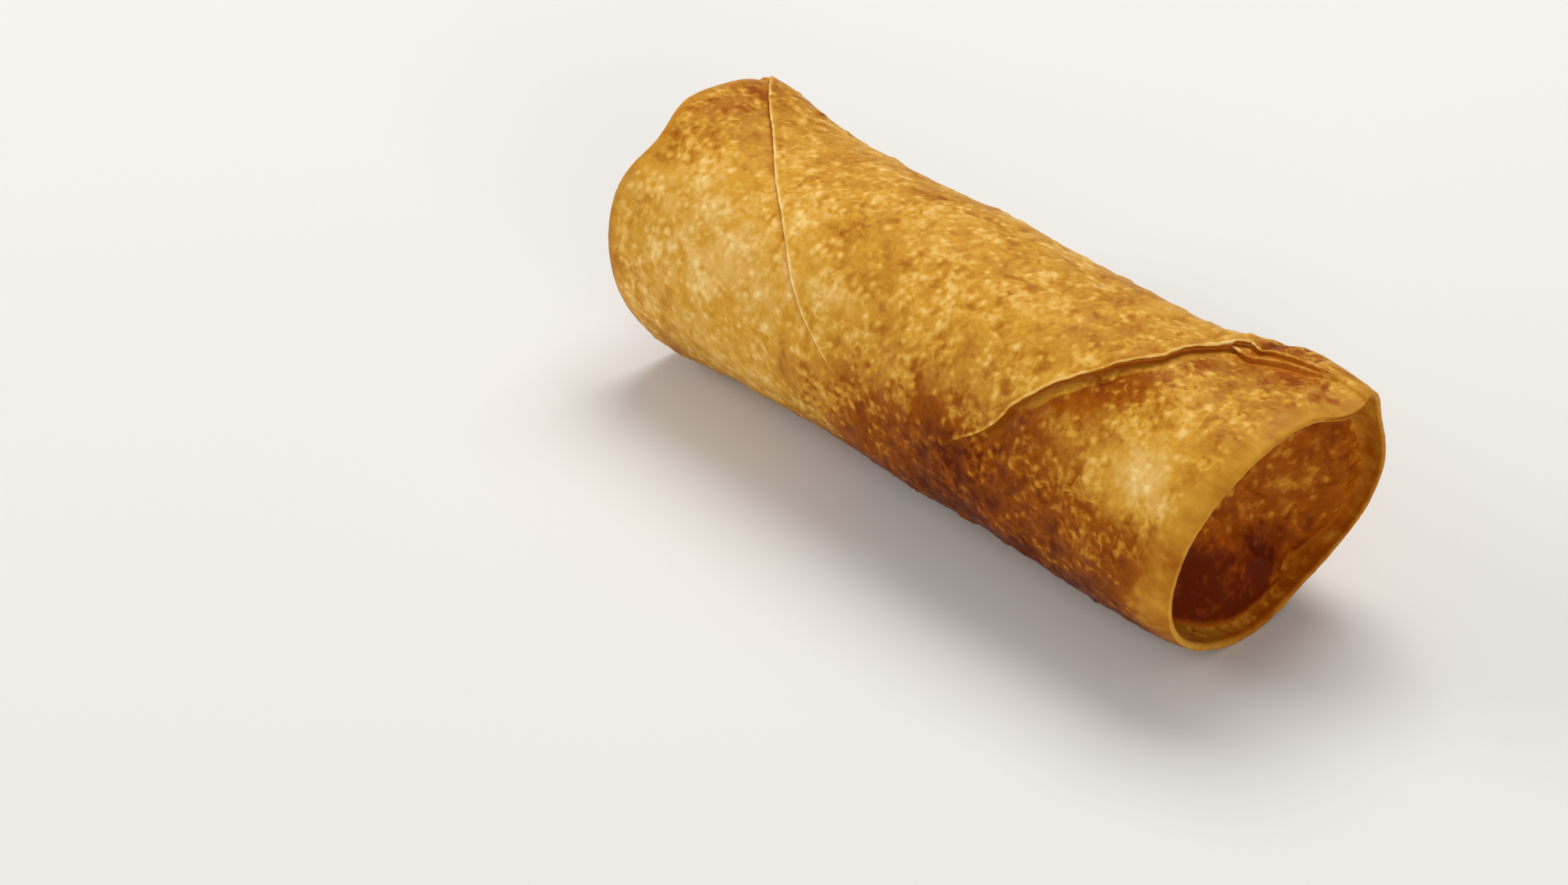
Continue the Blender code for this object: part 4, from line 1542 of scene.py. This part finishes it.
@dataclass(frozen=True)
class DrySpecks:
    """Shader group of pale dry specks and short wrinkles, thicker in some places, and their height;
    raised blister tops are paler, partly as dry crust and partly as painted highlight.

    Each span is where an effect starts and where it is full. A share is how much of an effect goes
    into the sum, and a rise is how much of it goes into the height.
    """

    warp: Span = (0.5, 1.0)
    crowds: Noise = (0.17, 2.0, 0.55)
    crowd_span: Span = (0.34, 0.66)
    plenty_share: float = 0.8
    dots_per_mm: float = 0.68
    crowd_share: float = 0.5
    chance_span: Span = (0.15, 1.3)
    dot_span: Span = (0.6, 0.0)
    curls: Noise = (0.42, 2.0)
    wrinkle_level: float = 0.52
    wrinkle_span: Span = (0.1, 0.0)
    wrinkle_crowd: Span = (0.1, 1.0)
    grains: Noise = (1.2, 2.0)
    dot_share: float = 0.85
    wrinkle_share: float = 0.34
    # Raised blister tops are made paler, partly as dry crust and partly as painted highlight where light
    # catches them.
    raised_dry_and_highlight_share: float = 0.3
    grain_share: float = 0.7
    speck_span: Span = (-0.1, 1.2)
    speck_power: float = 0.75
    pore_span: Span = (0.48, 0.32)
    bare_span: Span = (0.4, 0.0)
    dot_rise: float = 0.7
    grain_rise: float = 0.4

    INPUTS: ClassVar[dict[str, float]] = {"Plenty": 0.5, "Raised": 0.0}

    def tree(self) -> bpy.types.NodeTree:
        """The group's node tree.

        Returns:
            The tree, with the specks, the pores between them and the height as its outputs.
        """
        maker = shader_group("dry_specks", self.INPUTS, ("Specks", "Pores", "Height"))
        given = maker.add("NodeGroupInput").outputs
        place = maker.warped(given["Position"], *self.warp)
        crowd = maker.ramp(maker.noise(given["Position"], *self.crowds)[0], *self.crowd_span)
        crowd = maker.math("MULTIPLY_ADD", maker.centred(given["Plenty"]), self.plenty_share, crowd)

        inputs = {"Vector": place, "Scale": self.dots_per_mm}
        cells = maker.add("ShaderNodeTexVoronoi", inputs, feature="SMOOTH_F1").outputs
        chance = maker.add("ShaderNodeSeparateXYZ", {0: cells["Color"]}).outputs[0]
        chance = maker.math("MULTIPLY_ADD", crowd, self.crowd_share, chance)
        chance = maker.ramp(chance, *self.chance_span)
        dots = maker.math("MULTIPLY", maker.ramp(cells["Distance"], *self.dot_span), chance)

        curl = maker.noise(place, *self.curls)[0]
        ridge = maker.math("ABSOLUTE", maker.math("SUBTRACT", curl, self.wrinkle_level))
        ridge = maker.ramp(ridge, *self.wrinkle_span)
        ridge = maker.math("MULTIPLY", ridge, maker.ramp(crowd, *self.wrinkle_crowd))
        grain = maker.noise(given["Position"], *self.grains)[0]

        value = maker.math("MULTIPLY", dots, self.dot_share)
        value = maker.math("MULTIPLY_ADD", ridge, self.wrinkle_share, value)
        value = maker.math("MULTIPLY_ADD", given["Raised"], self.raised_dry_and_highlight_share, value)
        value = maker.math("MULTIPLY_ADD", maker.centred(grain), self.grain_share, value)
        specks = maker.math("POWER", maker.ramp(value, *self.speck_span), self.speck_power)
        bare = maker.ramp(value, *self.bare_span)
        pores = maker.math("MULTIPLY", maker.ramp(curl, *self.pore_span), bare)
        height = maker.math("MULTIPLY_ADD", dots, self.dot_rise, curl)
        height = maker.math("MULTIPLY_ADD", grain, self.grain_rise, height)
        maker.add("NodeGroupOutput", {"Specks": specks, "Pores": pores, "Height": height})
        return maker.tree


@dataclass(frozen=True)
class OilFilm:
    """Shader group of a thin film of oil that lies unevenly: the roughness that it leaves."""

    dry_patches: Noise = (0.3, 3.0, 0.6)
    dry_span: Span = (0.35, 0.65)
    speck_roughness: float = 0.08

    INPUTS: ClassVar[dict[str, float]] = {"Specks": 0.0, "Dry": 0.55, "Oily": 0.32}

    def tree(self) -> bpy.types.NodeTree:
        """The group's node tree.

        Returns:
            The tree, with the roughness as its output.
        """
        maker = shader_group("oil_film", self.INPUTS, ("Roughness",))
        given = maker.add("NodeGroupInput").outputs
        dryness = maker.ramp(maker.noise(given["Position"], *self.dry_patches)[0], *self.dry_span)
        span = maker.math("SUBTRACT", given["Dry"], given["Oily"])
        roughness = maker.math("MULTIPLY_ADD", dryness, span, given["Oily"])
        roughness = maker.math("MULTIPLY_ADD", given["Specks"], self.speck_roughness, roughness)
        maker.add("NodeGroupOutput", {"Roughness": roughness})
        return maker.tree


class FinishGroups:
    """The effects that both pastry finishes use, as shader node groups, each built once."""

    def __init__(self) -> None:
        """Builds the groups."""
        self.mottling = UnevenBrowning().tree()
        self.specks = DrySpecks().tree()
        self.oil = OilFilm().tree()


@dataclass(frozen=True)
class PastryFinish:
    """Fried pastry: a scale of browning from scorched to pale, mottled, specked and thinly oiled, with
    painted shade and painted highlight from the piece's marks.
    """

    name: str
    groups: FinishGroups
    scorched: Colour = (0.10, 0.012, 0.0006)
    brown: Colour = (0.30, 0.074, 0.0016)
    golden: Colour = (0.605, 0.305, 0.033)
    pale: Colour = (0.79, 0.515, 0.165)
    cream: Colour = (0.93, 0.74, 0.37)
    tones: tuple[float, ...] = (0.0, 0.27, 0.53, 0.76, 1.0)
    # Painted shade colour of the seams and gaps: a darker red-brown.
    seam_tint: Colour = (0.44, 0.12, 0.008)
    # Painted shade colour that darkens and reddens the hollows.
    inside_tint: Colour = (1.0, 0.72, 0.30)
    tone: float = 0.44
    blotch_strength: float = 0.32
    patch_strength: float = 0.23
    speck_strength: float = 0.31
    toasted_speck: float = 0.05
    pore_strength: float = 0.06
    plenty: float = 0.5
    bare_rim: float = 0.85
    bare_height: float = 0.3
    # How far the painted highlight lightens the cut edges.
    cut_strength: float = 0.26
    # How far the painted seam shade takes its colour.
    seam_strength: float = 0.8
    # How far the toasting mark darkens the tone, for real browning and painted shade alike.
    toast_strength: float = 0.44
    # How far the painted hollow shade darkens the tone.
    inside_strength: float = 0.12
    dry: float = 0.58
    oily: float = 0.40
    coat: float = 0.003
    coat_roughness: float = 0.3
    refraction: float = 1.45
    shine: float = 0.09
    shine_tint: Colour = (1.0, 0.80, 0.45)
    grain_height: float = 0.085 * MM

    # Sockets of a Mix node for its factor and its two colours, and for the mixed colour.
    MIX_INPUTS: ClassVar[tuple[int, ...]] = (0, 6, 7)
    MIX_RESULT: ClassVar[int] = 2

    def material(self) -> bpy.types.Material:
        """The finished material.

        Returns:
            The material, which reads the marks that the piece carries.
        """
        material = bpy.data.materials.new(self.name)
        material.use_nodes = True
        material.node_tree.nodes.clear()
        maker = TreeMaker(material.node_tree)
        position = maker.scaled(maker.add("ShaderNodeTexCoord").outputs["Object"], 1.0 / MM)
        marks = {mark: self._carried(maker, mark.value) for mark in Mark}
        bare = maker.math("MULTIPLY_ADD", marks[Mark.RIM], -self.bare_rim, 1.0)

        inputs = {
            "Position": position,
            "Blotch Strength": self.blotch_strength,
            "Patch Strength": self.patch_strength,
        }
        mottling = maker.add("ShaderNodeGroup", inputs, node_tree=self.groups.mottling).outputs
        inputs = {"Position": position, "Plenty": self.plenty, "Raised": self._carried(maker, "raised")}
        specks = maker.add("ShaderNodeGroup", inputs, node_tree=self.groups.specks).outputs
        shown = maker.math("MULTIPLY", specks["Specks"], bare)
        strength = maker.math("MULTIPLY_ADD", marks[Mark.TOAST], self.toasted_speck, self.speck_strength)

        tone = maker.math("ADD", mottling["Tone"], self.tone)
        effects = (
            (shown, strength),
            (maker.math("MULTIPLY", specks["Pores"], bare), -self.pore_strength),
            # browning, with painted shade mixed in
            (marks[Mark.TOAST], -self.toast_strength),
            # painted shade in the hollows
            (marks[Mark.INSIDE], -self.inside_strength),
            # painted highlight along the cut edges
            (marks[Mark.CUT], self.cut_strength),
        )
        for value, factor in effects:
            tone = maker.math("MULTIPLY_ADD", value, factor, tone)
        base = self._browning(maker, tone)
        # Painted shade in the hollows, tinted darker and redder.
        base = self._mixed(maker, marks[Mark.INSIDE], base, self.inside_tint, "MULTIPLY")
        # Painted shade in the seams and gaps, as a darker red-brown.
        seam = maker.math("MULTIPLY", marks[Mark.SEAM], self.seam_strength)
        base = self._mixed(maker, seam, base, self.seam_tint, "MIX")

        inputs = {"Position": position, "Specks": shown, "Dry": self.dry, "Oily": self.oily}
        oil = maker.add("ShaderNodeGroup", inputs, node_tree=self.groups.oil).outputs
        grain = maker.math("MULTIPLY_ADD", bare, 1.0 - self.bare_height, self.bare_height)
        height = maker.math("MULTIPLY", specks["Height"], grain)
        inputs = {"Strength": 1.0, "Distance": self.grain_height, "Height": height}
        inputs = {
            "Base Color": base,
            "Roughness": oil["Roughness"],
            "Normal": maker.add("ShaderNodeBump", inputs).outputs["Normal"],
            "Coat Weight": self.coat,
            "Coat Roughness": self.coat_roughness,
            "Specular IOR Level": self.shine,
            "Specular Tint": (*self.shine_tint, 1.0),
            "IOR": self.refraction,
        }
        shader = maker.add("ShaderNodeBsdfPrincipled", inputs)
        maker.add("ShaderNodeOutputMaterial", {"Surface": shader.outputs[0]})
        return material

    @staticmethod
    def _carried(maker: TreeMaker, name: str) -> bpy.types.NodeSocket:
        """A value that each point of the piece carries."""
        node = maker.add("ShaderNodeAttribute", attribute_name=name, attribute_type="GEOMETRY")
        return node.outputs["Fac"]

    def _browning(self, maker: TreeMaker, tone: Any) -> bpy.types.NodeSocket:
        """The colour of a tone, from scorched at 0 to cream at 1.

        Args:
            maker: The material's maker.
            tone: The tone of each point.

        Returns:
            The colour of each point.
        """
        node = maker.add("ShaderNodeValToRGB", {"Fac": tone})
        scale = node.color_ramp
        scale.interpolation = "LINEAR"
        colours = (self.scorched, self.brown, self.golden, self.pale, self.cream)
        while len(scale.elements) < len(colours):
            scale.elements.new(0.5)
        for element, place, colour in zip(scale.elements, self.tones, colours):
            element.position = place
            element.color = (*colour, 1.0)
        return node.outputs["Color"]

    def _mixed(self, maker: TreeMaker, share: Any, base: Any, tint: Colour, way: str) -> Any:
        """A colour mixed with a tint, as far as share says.

        Args:
            maker: The material's maker.
            share: How much of the mixed colour shows.
            base: The colour to start from.
            tint: The other colour.
            way: How the two are mixed, by the node's own name for it.

        Returns:
            The mixed colour.
        """
        inputs = dict(zip(self.MIX_INPUTS, (share, base, (*tint, 1.0))))
        node = maker.add("ShaderNodeMix", inputs, data_type="RGBA", blend_type=way)
        return node.outputs[self.MIX_RESULT]


@dataclass(frozen=True)
class SoftLight:
    """One large soft studio light that looks at the roll."""

    name: str
    place: tuple[float, float, float]
    size: Span
    watts: float
    tint: Colour
    aim: tuple[float, float, float] = (0.0, 0.0, 0.02)

    def build(self) -> bpy.types.Object:
        """The light, turned towards the middle of the roll.

        Returns:
            The light, linked to the scene.
        """
        lamp = bpy.data.lights.new(self.name, "AREA")
        lamp.shape = "RECTANGLE"
        lamp.size, lamp.size_y = self.size
        lamp.energy = self.watts
        lamp.color = self.tint
        light = bpy.data.objects.new(self.name, lamp)
        light.location = self.place
        way = Vector(self.aim) - Vector(self.place)
        light.rotation_euler = way.to_track_quat("-Z", "Y").to_euler()
        bpy.context.scene.collection.objects.link(light)
        return light


@dataclass(frozen=True)
class Studio:
    """The plain stage: a pale floor, soft light all round, three large lights, and the camera."""

    azimuth: float = 48.111
    elevation: float = 33.0
    distance: float = 0.665279
    target: tuple[float, float, float] = (-0.025908, -0.016128, 0.0)
    lens: float = 100.0
    floor_size: float = 6.0
    floor_colour: Colour = (0.73, 0.725, 0.712)
    floor_roughness: float = 0.6
    floor_shine: float = 0.25
    sky_colour: Colour = (1.0, 0.985, 0.96)
    sky_strength: float = 0.30
    lights: tuple[SoftLight, ...] = (
        SoftLight("overhead_light", (-0.25, 0.45, 0.90), (0.8, 0.6), 8.9, (1.0, 0.98, 0.95)),
        SoftLight("side_light", (-0.66, -0.52, 0.36), (0.55, 0.45), 3.5, (1.0, 0.99, 0.97)),
        SoftLight("end_light", (0.88, -0.47, 0.32), (0.6, 0.45), 4.5, (1.0, 0.97, 0.92)),
    )

    def build(self) -> None:
        """Builds the floor, the lights and the camera."""
        self.floor()
        self.sky()
        for light in self.lights:
            light.build()
        self.camera()

    def floor(self) -> bpy.types.Object:
        """A wide matt floor.

        Returns:
            The floor, linked to the scene.
        """
        half = 0.5 * self.floor_size
        corners = [(-half, -half, 0.0), (half, -half, 0.0), (half, half, 0.0), (-half, half, 0.0)]
        mesh = bpy.data.meshes.new("pale_floor")
        mesh.from_pydata(corners, [], [(0, 1, 2, 3)])
        material = bpy.data.materials.new("pale_floor")
        material.use_nodes = True
        shader = material.node_tree.nodes["Principled BSDF"]
        shader.inputs["Base Color"].default_value = (*self.floor_colour, 1.0)
        shader.inputs["Roughness"].default_value = self.floor_roughness
        shader.inputs["Specular IOR Level"].default_value = self.floor_shine
        mesh.materials.append(material)
        floor = bpy.data.objects.new("pale_floor", mesh)
        bpy.context.scene.collection.objects.link(floor)
        return floor

    def sky(self) -> None:
        """Even light from all round."""
        world = bpy.data.worlds.new("soft_sky")
        world.use_nodes = True
        background = world.node_tree.nodes["Background"]
        background.inputs["Color"].default_value = (*self.sky_colour, 1.0)
        background.inputs["Strength"].default_value = self.sky_strength
        bpy.context.scene.world = world
        bpy.context.scene.view_settings.view_transform = "Standard"

    def camera(self) -> bpy.types.Object:
        """The camera, at the viewing angle of the picture.

        Returns:
            The camera, which the scene uses.
        """
        azimuth, elevation = math.radians(self.azimuth), math.radians(self.elevation)
        level = math.cos(elevation)
        back = Vector((math.sin(azimuth) * level, -math.cos(azimuth) * level, math.sin(elevation)))
        data = bpy.data.cameras.new("camera")
        data.lens = self.lens
        camera = bpy.data.objects.new("camera", data)
        camera.location = Vector(self.target) + back * self.distance
        camera.rotation_euler = back.to_track_quat("Z", "Y").to_euler()
        bpy.context.scene.collection.objects.link(camera)
        bpy.context.scene.camera = camera
        return camera


class SpringRoll:
    """The whole roll: its wound skin, and the pastry tucked into each end."""

    def __init__(self) -> None:
        """Settles the sizes of every part of the roll."""
        body = RollBody()
        flap = Flap(body)
        self.near_hollow = EndHollow(
            body,
            End.WIDE,
            middle=(-1.0 * MM, -0.5 * MM),
            depths=(15.0 * MM, 5.0 * MM),
            foot_rise=5.0 * MM,
            side_rise=1.5 * MM,
        )
        self.far_hollow = EndHollow(
            body, End.NARROW, middle=(1.5 * MM, 1.0 * MM), depths=(10.0 * MM, 8.0 * MM)
        )
        self.skin = WoundSkin(body, flap, Collar(flap), self.near_hollow, self.far_hollow)
        self.relief = CrustRelief()
        self.tuck_relief = CrustRelief(
            blister_height=0.25 * MM, ripple_size=3.2 * MM, ripple_height=0.7 * MM
        )

    def build(self) -> list[bpy.types.Object]:
        """Builds and dresses every piece.

        Returns:
            The finished pieces, of which the first is the skin.
        """
        groups = FinishGroups()
        crust = PastryFinish("golden_crust", groups).material()
        tucked = PastryFinish(
            "tucked_crust",
            groups,
            tone=0.52,
            speck_strength=0.32,
            toasted_speck=-0.14,
            patch_strength=0.4,
            dry=0.6,
            oily=0.42,
        ).material()
        tree = self.relief.tree()
        grid = self.skin.build()
        offset = grid.centre()
        pieces = [self.piece("pastry_skin", grid, offset, self.relief, tree, crust)]
        for name, hollow in (("wide_end_tuck", self.near_hollow), ("narrow_end_tuck", self.far_hollow)):
            cap = TuckedPastry(self.skin, hollow).build()
            pieces.append(self.piece(name, cap, offset, self.tuck_relief, tree, tucked))
        return pieces

    @staticmethod
    def piece(
        name: str,
        grid: SkinGrid,
        offset: np.ndarray,
        relief: CrustRelief,
        tree: bpy.types.NodeTree,
        finish: bpy.types.Material,
    ) -> bpy.types.Object:
        """One closed piece of pastry with its relief and finish.

        Args:
            name: Name of the piece.
            grid: Its points and marks.
            offset: Taken off every point, so that the roll stands on the origin.
            relief: The relief that it gets.
            tree: The relief's node tree.
            finish: Its material.

        Returns:
            The piece, at the origin, with its place in its mesh.
        """
        mesh = grid.mesh(name, offset)
        mesh.materials.append(finish)
        piece = bpy.data.objects.new(name, mesh)
        bpy.context.scene.collection.objects.link(piece)
        relief.raise_on(piece, tree, finish)
        return piece


def main() -> None:
    """Builds the roll and its stage, and reports each piece."""
    logging.basicConfig(level=logging.INFO, format="%(name)s: %(message)s")
    pieces = SpringRoll().build()
    for piece in pieces:
        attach(piece, BODY)
        triangles = sum(len(face.vertices) - 2 for face in piece.data.polygons)
        size = [round(length / MM, 1) for length in piece.dimensions]
        log.info("%s: %d triangles, %s mm", piece.name, triangles, size)
    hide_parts(NODE)
    Studio().build()


if __name__ == "__main__":
    main()
